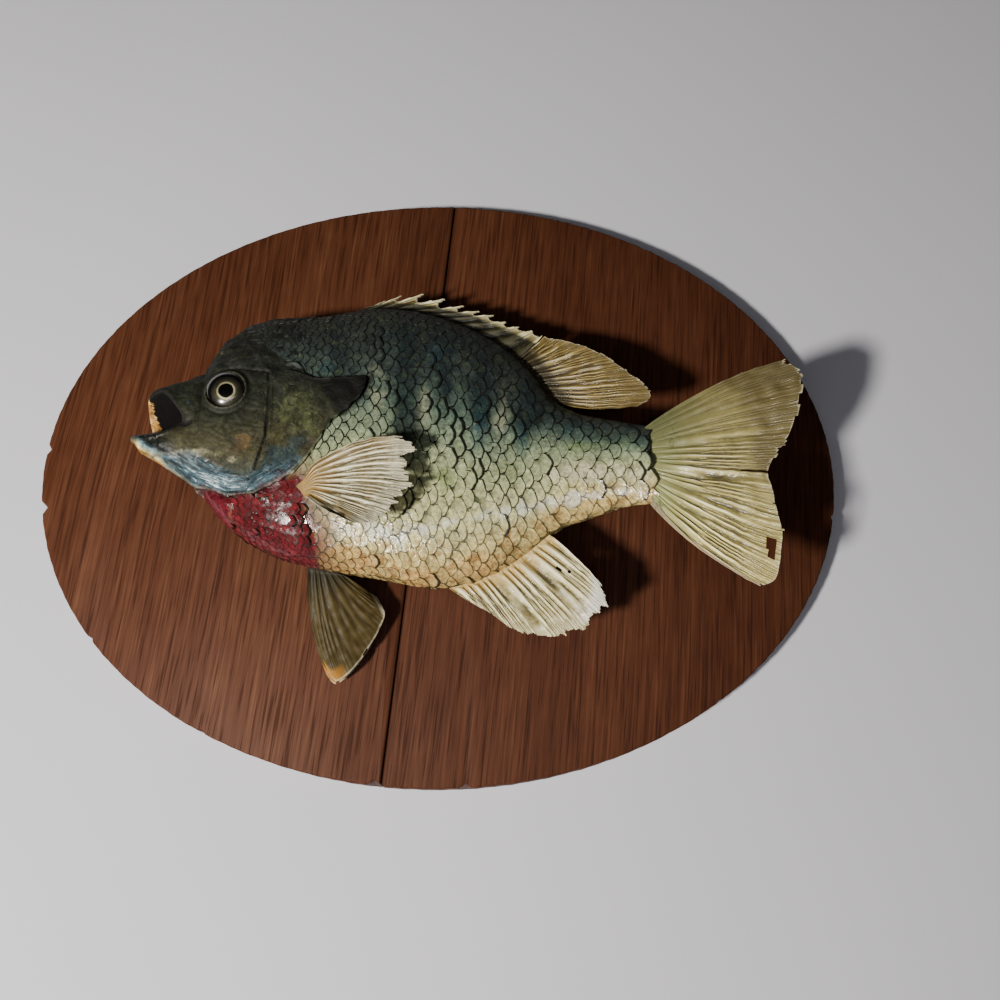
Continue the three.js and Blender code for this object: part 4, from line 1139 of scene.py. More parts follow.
def fish_paint(name, on_scales):
    """Airbrushed paint under varnish, for the bare skin or for the scales over it."""
    material, tree, shader = new_material(name, IOR=1.42, Specular_IOR_Level=0.35 if on_scales else 0.3)
    place = add(tree, "TexCoord", out="Object")
    names = ["level", "high", "head", "band", "jaw", "mouth", "along"]
    names += list(PATCHES) + [shape[0] for shape in SHAPES]
    names += ["silver_sheen", "edge", "root", "tint"] if on_scales else ["eye", "pad", "maxilla"]
    mark = {key: add(tree, "Attribute", attribute_name=key, out="Fac") for key in names}
    broad, middle, fine, speck = [
        add(tree, "TexNoise", place, seed, MM_SCALE / size, detail, rough, **NOISE_4D)
        for seed, size, detail, rough in MOTTLES]
    breakup = add(tree, "MapRange", middle, 0.3, 0.7, -0.28, 0.28, clamp=False)
    on_jaw = jaw_cover(tree, mark)
    paint = ground_paint(tree, mark, broad, middle, breakup)
    paint = head_paint(tree, mark, broad, fine, breakup, on_jaw, paint)
    paint = band_paint(tree, mark, broad, paint)
    if not on_scales:
        rings = buried_rings(tree, mark, place, fine)
        paint = add(tree, "Mix", rings, paint, "#12140d", **COLOURS)
        wrinkles = add(tree, "TexNoise", place, 7.0, MM_SCALE / 2.4, 5.0, 0.7, None, 1.2, **NOISE_4D)
        in_folds = add(tree, "MapRange", wrinkles, 0.36, 0.64, 0.52, 1.5, clamp=False)
        paint = add(tree, "VectorMath", paint, in_folds, **TIMES)
    # Fine mottling: the airbrush's droplets, 0.3 to 1.6 mm across, greener than the ground.
    droplets = add(tree, "TexNoise", place, 6.0, MM_SCALE / 1.6, 3.0, 0.6, **NOISE_4D)
    green = add(tree, "MapRange", droplets, 0.52, 0.72, 0.0, 0.26)
    paint = add(tree, "Mix", green, paint, "#5a6238" if on_scales else "#3f4228", **COLOURS)
    if on_scales:
        rust = add(tree, "MapRange", droplets, 0.5, 0.6, 0.0, 0.5)
        paint = flank_details(tree, mark, middle, fine, rust, paint)
    paint = sharp_shapes(tree, mark, middle, fine, paint)
    if on_scales:
        paint = painted_scale_shade(tree, mark, broad, fine, paint)
        tone = add(tree, "MapRange", mark["tint"], 0.0, 1.0, 0.88, 1.1)
    else:
        paint = skin_details(tree, mark, fine, paint)
        tone = add(tree, "MapRange", broad, 0.3, 0.7, 0.9, 1.1)
    grain = add(tree, "MapRange", speck, 0.25, 0.75, 0.55, 1.45, clamp=False)
    lumps = add(tree, "MapRange", fine, 0.3, 0.7, 0.62, 1.36, clamp=False)
    tone = add(tree, "Math", tone, add(tree, "Math", grain, lumps, **TIMES), **TIMES)
    tree.links.new(add(tree, "VectorMath", paint, tone, **TIMES), shader.inputs["Base Color"])
    varnish(tree, shader, mark, middle, fine, on_jaw, on_scales)
    relief = add(tree, "Math", middle, 2.0, fine, **TIMES_PLUS)
    relief = add(tree, "Math", speck, 1.2 if on_scales else 0.6, relief, **TIMES_PLUS)
    if not on_scales:
        relief = add(tree, "Math", wrinkles, 5.0, relief, **TIMES_PLUS)
        relief = add(tree, "Math", rings, -1.6, relief, **TIMES_PLUS)
    relief = add(tree, "Math", relief, add(tree, "MapRange", mark["red"], -1.5, 1.5, 0.3, 1.0), **TIMES)
    bump = add(tree, "Bump", 0.7, (0.19 if on_scales else 0.15) * MM)
    tree.links.new(relief, bump.node.inputs["Height"])
    tree.links.new(bump, shader.inputs["Normal"])
    return material


skin_paint, scale_paint = fish_paint("varnished_fish_skin", False), fish_paint("varnished_scales", True)
finished(skin, skin_paint, "head_skin", "head", "jaw_upper", "jaw_lower", "gill_cover_near", "gill_cover_far",
         "throat", "trunk_front", "trunk_rear", "tail_stalk")
for piece in scale_pieces:
    finished(piece, scale_paint, "flank_skin")
print("body paint:", len(skin_paint.node_tree.nodes), "and", len(scale_paint.node_tree.nodes), "nodes")

# %% [markdown]
# ## Finish of the eyes
# The iris is painted in rings on the back of the glass, so here the rings are the colour and the dome in
# front is a clear coat. Fine spokes run across the pale ring and the grey one round it.

# %% Painted glass eye
IRIS_RINGS = [(0.0, "#020202"), (0.3, "#030302"), (0.318, "#a39d79"), (0.36, "#bdb78f"), (0.395, "#4e4b37"),
              (0.52, "#38372a"), (0.6, "#2c2b23"), (0.66, "#0b0a07"), (1.0, "#040302")]
eye_glass, tree, shader = new_material("painted_glass_eye", Roughness=0.22, Coat_Weight=1.0,
                                       Coat_Roughness=0.03, Coat_IOR=1.52)
place = add(tree, "TexCoord", out="Object")
spokes = add(tree, "TexNoise", place, 0.0, MM_SCALE / 1.1, 3.0, 0.6, **NOISE_4D)
radius = add(tree, "Attribute", attribute_name="radius", out="Fac")
radius = add(tree, "Math", add(tree, "MapRange", spokes, 0.3, 0.7, -0.14, 0.14), radius, **PLUS)
# The rings go out to 8 mm from the pupil's middle.
rings = add(tree, "ValToRGB", add(tree, "MapRange", radius, 0.0, 8.0), stops=IRIS_RINGS)
# The iris is painted darker toward the top, as shade under the brow, and its pale ring is brighter in some
# places than in others.
up = add(tree, "MapRange", add(tree, "SeparateXYZ", place, out="Z"), 11.5 * MM, 17.5 * MM, 1.15, 0.3)
uneven = add(tree, "TexNoise", place, 1.0, MM_SCALE / 2.6, 2.0, **NOISE_4D)
uneven = add(tree, "MapRange", uneven, 0.4, 0.6, 0.5, 1.1)
rings = add(tree, "VectorMath", rings, add(tree, "Math", up, uneven, **TIMES), **TIMES)
tree.links.new(rings, shader.inputs["Base Color"])
for eye, node in zip(eyes, ("eye_near", "eye_far")):
    finished(eye, eye_glass, "eye_glass", node)

# %% [markdown]
# ## Fins
# A dried fin is a thin pleated sheet: stiff rays with skin between them, which branch toward the edge, and
# the edge is frayed and torn. Each fin is a plate of two grids. A ray runs from the root to the margin, and
# pleats, thickness and branching follow it. Cells past the frayed edge, and in tears, are left out, and
# walls close the plate along every such edge.

# %% Plates with torn edges


def torn_plate(rows, columns, keep):
    """Faces of a plate of which only the kept cells remain, with walls along every edge."""
    grid = np.arange(rows * columns).reshape(rows, columns)
    back = rows * columns
    front = grid_faces(rows, columns)[keep.ravel()]
    padded = np.pad(keep, 1)
    faces = [front, front[:, ::-1] + back]
    walls = ((padded[1:, 1:-1] & ~padded[:-1, 1:-1], grid[:, :-1], grid[:, 1:]),
             (~padded[1:, 1:-1] & padded[:-1, 1:-1], grid[:, 1:], grid[:, :-1]),
             (padded[1:-1, 1:] & ~padded[1:-1, :-1], grid[1:], grid[:-1]),
             (~padded[1:-1, 1:] & padded[1:-1, :-1], grid[:-1], grid[1:]))
    for there, a, b in walls:
        faces.append(np.stack([b[there], a[there], a[there] + back, b[there] + back], -1))
    return np.concatenate(faces)


def frayed(share, rays, depth, seed, cut=0.0):
    """How much of a ray's length is left at each share of the fin's width, 1 where it is whole.

    Depth is how far the edge is frayed. Cut is how far the skin falls back behind each spine.
    """
    rng = np.random.default_rng(seed)
    bites = rng.uniform(0, 1, 3 * rays + 2) ** 2.2
    teeth = np.interp(share * 3 * rays, np.arange(3 * rays + 2), bites)
    small = rng.uniform(0, 1, 12 * rays + 2)
    between = 0.5 - 0.5 * np.cos(2 * math.pi * rays * share)
    behind = (rays * share) % 1
    fallen = (0.3 + 0.7 * behind) * (behind > 0.1) * (1 - 0.85 * share)
    return 1 - depth * (teeth + 0.35 * small[(share * 12 * rays).astype(int)] + 0.5 * between) - cut * fallen


RAY_STEPS, FIN_STEPS = 12, 60


def fin(name, base, tip, bow, height, rays, thickness, fray, pleat, seed, tears=(), branching=True, cut=0.0,
        plain=0.05, calm=0.0):
    """A fin as a mesh. tears are (share, half width in share, from t, to t) of what is missing.

    The folds rise over the share plain of each ray, and are lower by the share calm near the first ray.
    """
    columns, rows = rays * RAY_STEPS + 1, FIN_STEPS + 1
    share = np.linspace(0, 1, columns)
    root, end = base(share), tip(share)
    length = np.linalg.norm(end - root, axis=1)
    uneven = share + 0.26 / rays * waves(share[:, None] * rays, 3.0, seed + 3) * branching
    uneven = np.clip(uneven, 0, 1)
    left = frayed(uneven, rays, fray, seed, cut)
    t = np.linspace(-0.06, 1, rows)[:, None]
    ray = (end - root) / length[:, None]
    across = np.stack([-ray[:, 1], ray[:, 0]], -1)
    flat = root + (end - root) * t[..., None] + across * (4 * t * (1 - t) * bow(share))[..., None]
    x, z = flat[..., 0], flat[..., 1]
    once, twice, four = (np.cos(2 * math.pi * rays * uneven * k) for k in (1, 2, 4))
    half_out, far_out = smooth(0.3, 0.55, t) * branching, smooth(0.68, 0.86, t) * branching
    wave = once * (1 - half_out) + twice * (half_out - far_out) * 0.8 + four * far_out * 0.5
    wave = wave * smooth(0, plain, t) * (1 - calm * smooth(0.5, 0.15, share))
    reach = np.clip(t, 0, 1)
    middle = height(x, z, reach) + pleat * wave * (1 - 0.35 * reach)
    middle = middle + 0.9 * reach * waves(flat, 26, seed) + 0.34 * waves(flat, 5, seed + 1) * reach
    half = (thickness[1] + (thickness[0] - thickness[1]) * (1 - reach) ** 2.5) / 2 * (0.72 + 0.28 * wave)
    middle = np.maximum(middle, half + 0.5)
    grids = [np.stack([x, -(BOARD_THICK + middle + sign * half), z], -1) for sign in (1, -1)]
    cell_t, cell_share = (t[1:] + t[:-1]) / 2, (share[1:] + share[:-1]) / 2
    keep = cell_t <= (left[1:] + left[:-1]) / 2
    for at, wide, low, top in tears:
        keep &= ~((np.abs(cell_share - at) < wide) & (cell_t > low) & (cell_t < top))
    short = (left - t) * length
    rooted = line_distance(x, z, [tuple(place) for place in root[::RAY_STEPS]])
    marks = {"ray": wave, "out": reach, "share": share, "phase": uneven * rays, "frayed": short,
             "rooted": rooted}
    marks = {key: np.tile(np.broadcast_to(values, x.shape), (2, 1)) for key, values in marks.items()}
    uv = np.stack([marks["share"].ravel(), marks["out"].ravel()], -1)
    piece = make_mesh(name, np.concatenate([g.reshape(-1, 3) for g in grids]),
                      torn_plate(rows, columns, keep).tolist(), marks, uv)
    face_out(piece)
    return piece


# %% The fins, from root to margin
CLEAR = 0.2
BACK_SKIN = 1.4  # how far the folded far pectoral fin's middle lies behind the flank


def on_line(line, low, high, off):
    """Roots along the back or the belly from one x to another."""
    def place(share):
        x = low + (high - low) * share
        return np.stack([x, line(x) + off], -1)
    return place


def straight(x, z, x_over, z_over):
    """Straight roots from x, z, as far over in each as given."""
    return lambda share: np.stack([x + x_over * share, z + z_over * share], -1)


def unbowed(share):
    """No bow, for a fin whose rays are straight."""
    return 0 * share


def spiny_roots(share):
    """The spines lean back over the body, so their roots lie well ahead of their tips."""
    x = -31 + 58.2 * share ** 1.2
    return np.stack([x, back_line(x) + CLEAR], -1)


def mid_plane(x, z, t):
    """On the fish's mid plane."""
    return mid_height(x)


def off_flank(x, z, t):
    """The near pectoral fin stands out from the flank, and only its root dips to the skin."""
    return 37 + 9 * t ** 0.8 - 4 * smooth(0.14, 0, t)


def flank_height(x, z, t):
    """Just behind the far flank, where the far pectoral fin lies folded."""
    widest = belly_line(x) + (back_line(x) - belly_line(x)) * WIDEST_AT
    down = np.clip((widest - z) / (widest - belly_line(x)), 0, 1)
    return mid_height(x) - half_width(x) * (1 - down * down) ** (ROUNDNESS / 2) - BACK_SKIN


SPINY_TIPS = [(-20.4, 57.6), (-13.3, 59.8), (-3.4, 60), (6.1, 56.4), (12.9, 53.2), (19.2, 51), (25, 47.6),
              (30.6, 45.4), (36, 42.4)]
SOFT_TIPS = [(36.2, 41.8), (45, 38.6), (54, 33.6), (62, 26.6), (68.4, 19.4), (71, 14.2), (66.5, 11.2)]
ANAL_TIPS = [(9.5, -51.6), (17.5, -56.4), (26.5, -62.8), (35, -65.2), (43, -64.6), (49.5, -62), (55, -56),
             (53.2, -49.6)]
TAIL_TIPS = [(112, 21.2), (117.4, 15.6), (116.2, 7), (112.6, -4.4), (107.5, -10.6), (104.2, -17),
             (105.6, -25), (106.8, -35.6), (105.8, -45), (103.8, -51.4), (99.6, -53)]
PELVIC_TIPS = [(-35.4, -73.4), (-32.4, -76.4), (-28.1, -73.5), (-23.4, -67.1), (-18.7, -58.6), (-17.5, -53.8),
               (-20.2, -48.6)]
PECTORAL_TIPS = [(-9, -6.8), (-4.4, -9.6), (-5.6, -16), (-5.8, -22.4), (-9.6, -27), (-12.4, -32), (-17, -35),
                 (-23, -35), (-29.4, -32)]
FAR_PECTORAL_TIPS = [(-8, -27.5), (-6, -31), (-9, -35), (-15, -37.6)]
tail_bow = curve_through([(0, 2.3), (0.25, 0.9), (0.5, 0), (0.75, -1), (1, -2.2)])
pectoral_bow = curve_through([(0, 4.2), (0.3, 1.6), (0.6, 0.2), (1, -0.8)])

# Tears: the place and half width over the fin's width, and from where to where along the ray.
ANAL_TEARS = [(0.16, 0.004, 0.3, 1), (0.27, 0.004, 0.45, 1), (0.83, 0.012, 0.3, 0.37),
              (0.86, 0.012, 0.42, 0.46)]
TAIL_TEARS = [(0.765, 0.026, 0.87, 0.945), (0.79, 0.03, 0.892, 0.955), (0.66, 0.004, 0.8, 1),
              (0.5, 0.003, 0.75, 1), (0.71, 0.003, 0.86, 1)]
PECTORAL_TEARS = [(0.35, 0.006, 0.72, 1), (0.52, 0.005, 0.78, 1), (0.2, 0.005, 0.84, 1)]

# After the shape of each fin come its rays, its thickness at root and margin in mm, how far it is frayed,
# the height of its pleats in mm and its seed.
fins = {
    "fin_dorsal_spiny": fin("spiny_dorsal_fin", spiny_roots, spline(SPINY_TIPS), unbowed, mid_plane,
                            10, (1.7, 0.7), 0.03, 0.22, 31, branching=False, cut=0.62),
    "fin_dorsal_soft": fin("soft_dorsal_fin", on_line(back_line, 27.4, 41, CLEAR), spline(SOFT_TIPS),
                           lambda s: -1.2 * s * s, mid_plane, 14, (1.5, 0.55), 0.014, 0.18, 32),
    "fin_anal": fin("anal_fin", on_line(belly_line, 4.5, 37.4, -CLEAR), spline(ANAL_TIPS), lambda s: 0.8 * s,
                    mid_plane, 13, (1.6, 0.55), 0.08, 0.32, 33, tears=ANAL_TEARS),
    "fin_tail": fin("tail_fin", straight(TAIL_ROOT + CLEAR, 4.2, 0, -28.6), spline(TAIL_TIPS), tail_bow,
                    mid_plane, 17, (6.4, 0.6), 0.026, 0.36, 34, plain=0.36, calm=0.8, tears=TAIL_TEARS),
    "fin_pectoral_near": fin("pectoral_fin_near", straight(-42.6, -16.6, 1.2, -6), spline(PECTORAL_TIPS),
                             pectoral_bow, off_flank, 13, (1.7, 0.5), 0.1, 0.3, 35, tears=PECTORAL_TEARS),
    "fin_pectoral_far": fin("pectoral_fin_far", straight(-40, -26.5, 0, -5), spline(FAR_PECTORAL_TIPS),
                            unbowed, flank_height, 8, (0.9, 0.5), 0.06, 0.08, 36),
}
for label, shift, off, seed in (("near", 0, 0, 37), ("far", -0.8, -3.2, 38)):
    tips = spline([(x + shift, z + shift * 0.6) for x, z in PELVIC_TIPS])
    lean = lambda x, z, t, off=off: 16.5 - 10 * t + off
    roots = on_line(belly_line, -42 + shift, -30 + shift, -CLEAR)
    fins["fin_pelvic_" + label] = fin("pelvic_fin_" + label, roots, tips, lambda s: -2 * (1 - s), lean,
                                      7, (1.5, 0.6), 0.008, 0.05, seed)
print(len(fins), "fins")

# %% [markdown]
# ## Finish of the fins
# Fin rays dry to horn: pale yellow ridges that catch the light, with darker skin between them and a frayed,
# bleached edge. One finish serves every fin, with its own colours, read along the rays from the fin's own
# attributes, so that streaks follow each ray.

# %% Colours of the fins
# ridge, hollow, root tint, margin tint, how far the root tint reaches, how far in the margin's, in shares.
# The spines have no root tint of their own: their root colour is that of the painted shadow over their roots.
FIN_COLOURS = {
    "spiny": ("#dcd291", "#6b6038", "#16160f", "#cfc58c", None, 0.75),
    "soft": ("#a68f50", "#5a4a28", "#2f2819", "#7d6b40", 0.3, 0.75),
    "anal": ("#f6edbc", "#897c4d", "#b8964f", "#d9d2a8", 0.12, 0.8),
    "tail": ("#b8ac6c", "#5c5532", "#69714b", "#9a8d5c", 0.34, 0.75),
    "pectoral": ("#f2eac4", "#665c39", "#b3893f", "#ece7cc", 0.24, 0.8),
    "pelvic": ("#4c4125", "#372e1a", "#1b1c16", "#463c23", 0.24, 0.9),
}
# The painted shadow of the back on the dorsal fins: how its edge moves over the fin's width, and its
# width, in mm.
BACK_SHADOWS = {"spiny": (-6.5, 3.8), "soft": (2.0, 9.5)}
FIN_COATS = {"pelvic": 0.0, "pectoral": 0.6}
FIN_FINISH = {"fin_dorsal_spiny": "spiny", "fin_dorsal_soft": "soft", "fin_anal": "anal", "fin_tail": "tail",
              "fin_pectoral_near": "pectoral", "fin_pectoral_far": "pectoral", "fin_pelvic_near": "pelvic",
              "fin_pelvic_far": "pelvic"}
# Grooves between rays: how many phases apart they lie, and from where on the ray they run.
GROOVES = ((0.5, -0.2), (0.25, 0.35), (0.125, 0.7))
print("fin finishes:", ", ".join(FIN_COLOURS))

# %% Parts of the fin's paint


def groove_lines(tree, phase, out, fine):
    """Thin lines of painted shade between the rays, more of them where the rays have branched."""
    lines = []
    for part, begin in GROOVES:
        fold = add(tree, "Math", fine, 0.12, phase, **TIMES_PLUS)
        fold = add(tree, "Math", fold, part, operation="PINGPONG")
        line = add(tree, "MapRange", fold, part * 0.7, part * 0.95, 0.0, 0.85, **SOFT)
        lines.append(add(tree, "Math", line, add(tree, "MapRange", out, begin, begin + 0.15), **TIMES))
    first_two = add(tree, "Math", *lines[:2], operation="MAXIMUM")
    return add(tree, "Math", first_two, lines[2], operation="MAXIMUM")


def tail_details(tree, place, share, out, reach, broad, fine, paint):
    """The tail grows lighter from its upper lobe to its lower one, the upper lobe has brown patches, the
    lower edge a pale rim, and scales run out over its fleshy root.
    """
    paint = add(tree, "VectorMath", paint, add(tree, "MapRange", share, 0.08, 0.85, 0.55, 1.7), **TIMES)
    browned = add(tree, "Math", broad, 0.5, add(tree, "Math", out, share, operation="SUBTRACT"), **TIMES_PLUS)
    browned = add(tree, "Math", fine, 0.2, browned, **TIMES_PLUS)
    browned = add(tree, "MapRange", browned, 0.72, 0.86, 0.0, 0.6, **SOFT)
    rim = add(tree, "MapRange", share, 0.975, 0.99, 0.0, 0.6)
    warped = add(tree, "TexNoise", place, 8.0, MM_SCALE / 1.2, 3.0, out="Color", **NOISE_4D)
    warped = add(tree, "VectorMath", warped, (2.4 * MM, 2.4 * MM, 2.4 * MM), place, **TIMES_PLUS)
    cells = add(tree, "TexVoronoi", warped, MM_SCALE * 2 / 2.6, feature="DISTANCE_TO_EDGE")
    cells = add(tree, "Math", add(tree, "MapRange", broad, 0.4, 0.6, 0.0, 0.14), cells, **PLUS)
    cells = add(tree, "MapRange", cells, 0.1, 0.02, 0.0, 0.6, **SOFT)
    cells = add(tree, "Math", cells, add(tree, "MapRange", reach, 0.36, 0.2, **SOFT), **TIMES)
    for cover, code in ((browned, "#453922"), (rim, "#b5a18e"), (cells, "#1d2016")):
        paint = add(tree, "Mix", cover, paint, code, **COLOURS)
    return paint


def pelvic_details(tree, ray, share, out, short, fine, paint):
    """The pelvic fins are dark, with faint lines, a pale upper edge and an orange tip."""
    lines = add(tree, "Math", fine, 0.08, ray, **TIMES_PLUS)
    lines = add(tree, "MapRange", lines, 1.0, 1.04, 0.0, 0.3)
    upper = add(tree, "MapRange", add(tree, "Math", share, out, **TIMES), 0.72, 0.8, 0.0, 0.8)
    orange = add(tree, "MapRange", short, 4.5, 2.2, 0.0, 0.9, **SOFT)
    orange = add(tree, "Math", orange, add(tree, "MapRange", share, 0.34, 0.2, **SOFT), **TIMES)
    for cover, code in ((lines, "#7d7553"), (upper, "#a8a48c"), (orange, "#a3722f")):
        paint = add(tree, "Mix", cover, paint, code, **COLOURS)
    return paint


print("fin paint parts ready")

# %% Painted fin skin


def fin_paint(kind):
    """Varnished fin skin with rays in the colours of that kind."""
    ridge_code, hollow_code, root_code, margin_code, root_to, margin_from = FIN_COLOURS[kind]
    material, tree, shader = new_material(
        "varnished_fin_" + kind, Specular_IOR_Level=0.12 if kind == "pelvic" else 0.3,
        Coat_Weight=FIN_COATS.get(kind, 0.35), Coat_Roughness=0.14)
    place = add(tree, "TexCoord", out="Object")
    ray, out, share, short, phase, rooted = (add(tree, "Attribute", attribute_name=key, out="Fac")
                                             for key in ("ray", "out", "share", "frayed", "phase", "rooted"))
    along = add(tree, "CombineXYZ", add(tree, "Math", phase, 4.0, **TIMES),
                add(tree, "Math", out, 3.0, **TIMES))
    streak = add(tree, "TexNoise", along, 0.0, 1.0, 5.0, 0.65, **NOISE_4D)
    broad = add(tree, "TexNoise", place, 1.0, MM_SCALE / 8, 3.0, **NOISE_4D)
    fine = add(tree, "TexNoise", place, 2.0, MM_SCALE / 0.8, 4.0, 0.65, **NOISE_4D)
    height = add(tree, "Math", streak, 1.7, add(tree, "Math", ray, 0.36, **TIMES), **TIMES_PLUS)
    height = add(tree, "Math", fine, 0.7, height, **TIMES_PLUS)
    if kind == "tail":
        # The tail's fleshy root and its upper lobe are smoother than the rest of it.
        calm = add(tree, "Math", add(tree, "MapRange", out, 0.08, 0.4, 0.3, 1.0),
                   add(tree, "MapRange", share, 0.1, 0.45, 0.4, 1.0), **TIMES)
        height = add(tree, "Math", add(tree, "Math", height, -1.22, **PLUS), calm, 1.22, **TIMES_PLUS)
    paint = add(tree, "Mix", add(tree, "MapRange", height, 0.9, 1.5), hollow_code, ridge_code, **COLOURS)
    if kind != "pelvic":
        # Shade is painted in thin dark lines between the rays, and the crests are painted pale in streaks as
        # glints.
        shaded_grooves = groove_lines(tree, phase, out, fine)
        height = add(tree, "Math", shaded_grooves, -0.6, height, **TIMES_PLUS)
        crest_glints = add(tree, "Math", streak, 2.0, ray, **TIMES_PLUS)
        crest_glints = add(tree, "MapRange", crest_glints, 1.6, 2.1, 0.0, 0.75)
        if kind == "tail":
            shaded_grooves = add(tree, "Math", shaded_grooves, add(tree, "MapRange", calm, 0.3, 1.0, 0.0, 0.85), **TIMES)
            crest_glints = add(tree, "Math", crest_glints, add(tree, "MapRange", calm, 0.4, 0.7), **TIMES)
        if kind == "anal":
            shaded_grooves = add(tree, "Math", shaded_grooves, add(tree, "MapRange", out, 0.85, 0.4, 0.3, 1.0), **TIMES)
        paint = add(tree, "Mix", shaded_grooves, paint, "#2b2414", **COLOURS)
        paint = add(tree, "Mix", crest_glints, paint, "#e6e2cb", **COLOURS)
    reach = add(tree, "Math", broad, 0.3, out, **TIMES_PLUS)
    if root_to:
        near_root = add(tree, "MapRange", reach, root_to + 0.3, 0.12, 0.0, 0.75, **SOFT)
    if kind in BACK_SHADOWS:
        # A shadow of the back is painted along the fin's root, wider toward the rear of the spines.
        drift, width = BACK_SHADOWS[kind]
        shaded = add(tree, "Math", share, drift, rooted, **TIMES_PLUS)
        shaded = add(tree, "Math", fine, 2.0, shaded, **TIMES_PLUS)
        shaded = add(tree, "MapRange", shaded, width, width * 0.5, 0.0, 0.93, **SOFT)
        near_root = add(tree, "Math", near_root, shaded, operation="MAXIMUM") if root_to else shaded
    paint = add(tree, "Mix", near_root, paint, root_code, **COLOURS)
    at_margin = add(tree, "MapRange", reach, margin_from, 1.25, 0.0, 0.6, **SOFT)
    paint = add(tree, "Mix", at_margin, paint, margin_code, **COLOURS)
    if kind == "tail":
        paint = tail_details(tree, place, share, out, reach, broad, fine, paint)
    if kind == "pectoral":
        stained = add(tree, "MapRange", broad, 0.44, 0.62, 0.0, 0.55, **SOFT)
        paint = add(tree, "Mix", stained, paint, "#8a6d35", **COLOURS)
    if kind == "anal":
        bare = add(tree, "MapRange", add(tree, "Math", fine, 0.35, share, **TIMES_PLUS), 0.84, 0.96)
        bare = add(tree, "Math", bare, add(tree, "MapRange", reach, 0.86, 0.96), **TIMES)
        paint = add(tree, "Mix", bare, paint, "#dcd9cc", **COLOURS)
    if kind == "pelvic":
        paint = pelvic_details(tree, ray, share, out, short, fine, paint)
    edge = add(tree, "Math", fine, 0.9, short, **TIMES_PLUS)
    edge = add(tree, "MapRange", edge, 1.1, 0.5, 0.0, 0.55, **SOFT)
    paint = add(tree, "Mix", edge, paint, "#bdb598", **COLOURS)
    tree.links.new(paint, shader.inputs["Base Color"])
    tree.links.new(add(tree, "MapRange", fine, 0.3, 0.7, 0.36, 0.58), shader.inputs["Roughness"])
    bump = add(tree, "Bump", 0.8, (0.12 if kind == "pelvic" else 0.3) * MM)
    tree.links.new(height, bump.node.inputs["Height"])
    tree.links.new(bump, shader.inputs["Normal"])
    tree.links.new(bump, shader.inputs["Coat Normal"])
    return material


paints = {kind: fin_paint(kind) for kind in FIN_COLOURS}
for node, piece in fins.items():
    kind = FIN_FINISH[node]
    finished(piece, paints[kind], "dark_fin_skin" if node == "fin_pelvic_near" else "fin_skin", node)

# %% [markdown]
# ## The board
# The board is two planks of stained wood with coarse straight grain, edge to edge, sawn to an oval. It is
# modelled as it was made: an oval disk, cut in two at the joint, with its rims rounded and a few chips
# broken out of them.

# %% Two planks from one oval
HALF_LENGTH, HALF_HEIGHT = 141, 110
JOINT_TOP, JOINT_BOTTOM = 3.3, -17.6
JOINT_MIDDLE = (JOINT_TOP + JOINT_BOTTOM) / 2
JOINT_LEAN = math.atan((JOINT_TOP - JOINT_BOTTOM) / (2 * HALF_HEIGHT))
JOINT_GAP, RIM_ROUND = 0.3, 0.7
# Where on the rim a chip is broken out, in degrees, and its size.
CHIPS = [(176.5, 1.6), (188, 2.2), (214, 0.8), (237, 0.9), (262, 1.8), (274, 1.4), (312, 0.7), (351, 0.8)]


def plank(name, side):
    """The part of the oval on one side of the joint, -1 left or 1 right."""
    bpy.ops.object.select_all(action="DESELECT")
    bpy.ops.mesh.primitive_cylinder_add(vertices=480, radius=1, depth=BOARD_THICK * MM,
                                        rotation=(math.pi / 2, 0, 0), location=(0, -BOARD_THICK / 2 * MM, 0))
    piece = bpy.context.active_object
    piece.name = name
    bpy.ops.object.transform_apply(location=True, rotation=True, scale=True)
    bpy.ops.object.mode_set(mode="EDIT")
    bpy.ops.mesh.select_all(action="SELECT")
    bpy.ops.transform.resize(value=(HALF_LENGTH * MM, 1, HALF_HEIGHT * MM), center_override=(0, 0, 0))
    across = Vector((math.cos(JOINT_LEAN), 0, -math.sin(JOINT_LEAN)))
    middle = Vector((JOINT_MIDDLE * MM, 0, 0)) + across * side * JOINT_GAP / 2 * MM
    bpy.ops.mesh.bisect(plane_co=middle, plane_no=across, use_fill=True, clear_inner=side > 0,
                        clear_outer=side < 0)
    bpy.ops.mesh.select_all(action="DESELECT")
    bpy.ops.object.mode_set(mode="OBJECT")
    for edge in piece.data.edges:
        ends = [piece.data.vertices[i].co for i in edge.vertices]
        edge.select = abs(ends[0].y - ends[1].y) < 1e-6
    bpy.ops.object.mode_set(mode="EDIT")
    bpy.ops.mesh.bevel(offset=RIM_ROUND * MM, segments=3, affect="EDGES")
    bpy.ops.object.mode_set(mode="OBJECT")
    rng = np.random.default_rng(5)
    for vertex in piece.data.vertices:
        x, z = vertex.co.x / HALF_LENGTH / MM, vertex.co.z / HALF_HEIGHT / MM
        if math.hypot(x, z) < 0.99:
            continue
        turn = math.degrees(math.atan2(z, x)) % 360
        bite = sum(size * max(0, 1 - abs(turn - at) / (0.45 * size + 0.3)) for at, size in CHIPS)
        bite *= smooth(-3.5, -7, vertex.co.y / MM)
        bite += 0.07 + 0.1 * math.sin(turn * 1.9) * math.sin(turn * 0.7) + rng.uniform(0, 0.05)
        way = Vector((vertex.co.x, 0, vertex.co.z)).normalized()
        vertex.co -= way * bite * MM * 0.9
    piece.data.shade_smooth()
    piece.select_set(True)
    bpy.ops.object.shade_smooth_by_angle(angle=math.radians(32))
    piece.select_set(False)
    return piece


planks = {"plank_left": plank("left_plank", -1), "plank_right": plank("right_plank", 1)}
print("joint leans", round(math.degrees(JOINT_LEAN), 1), "degrees")

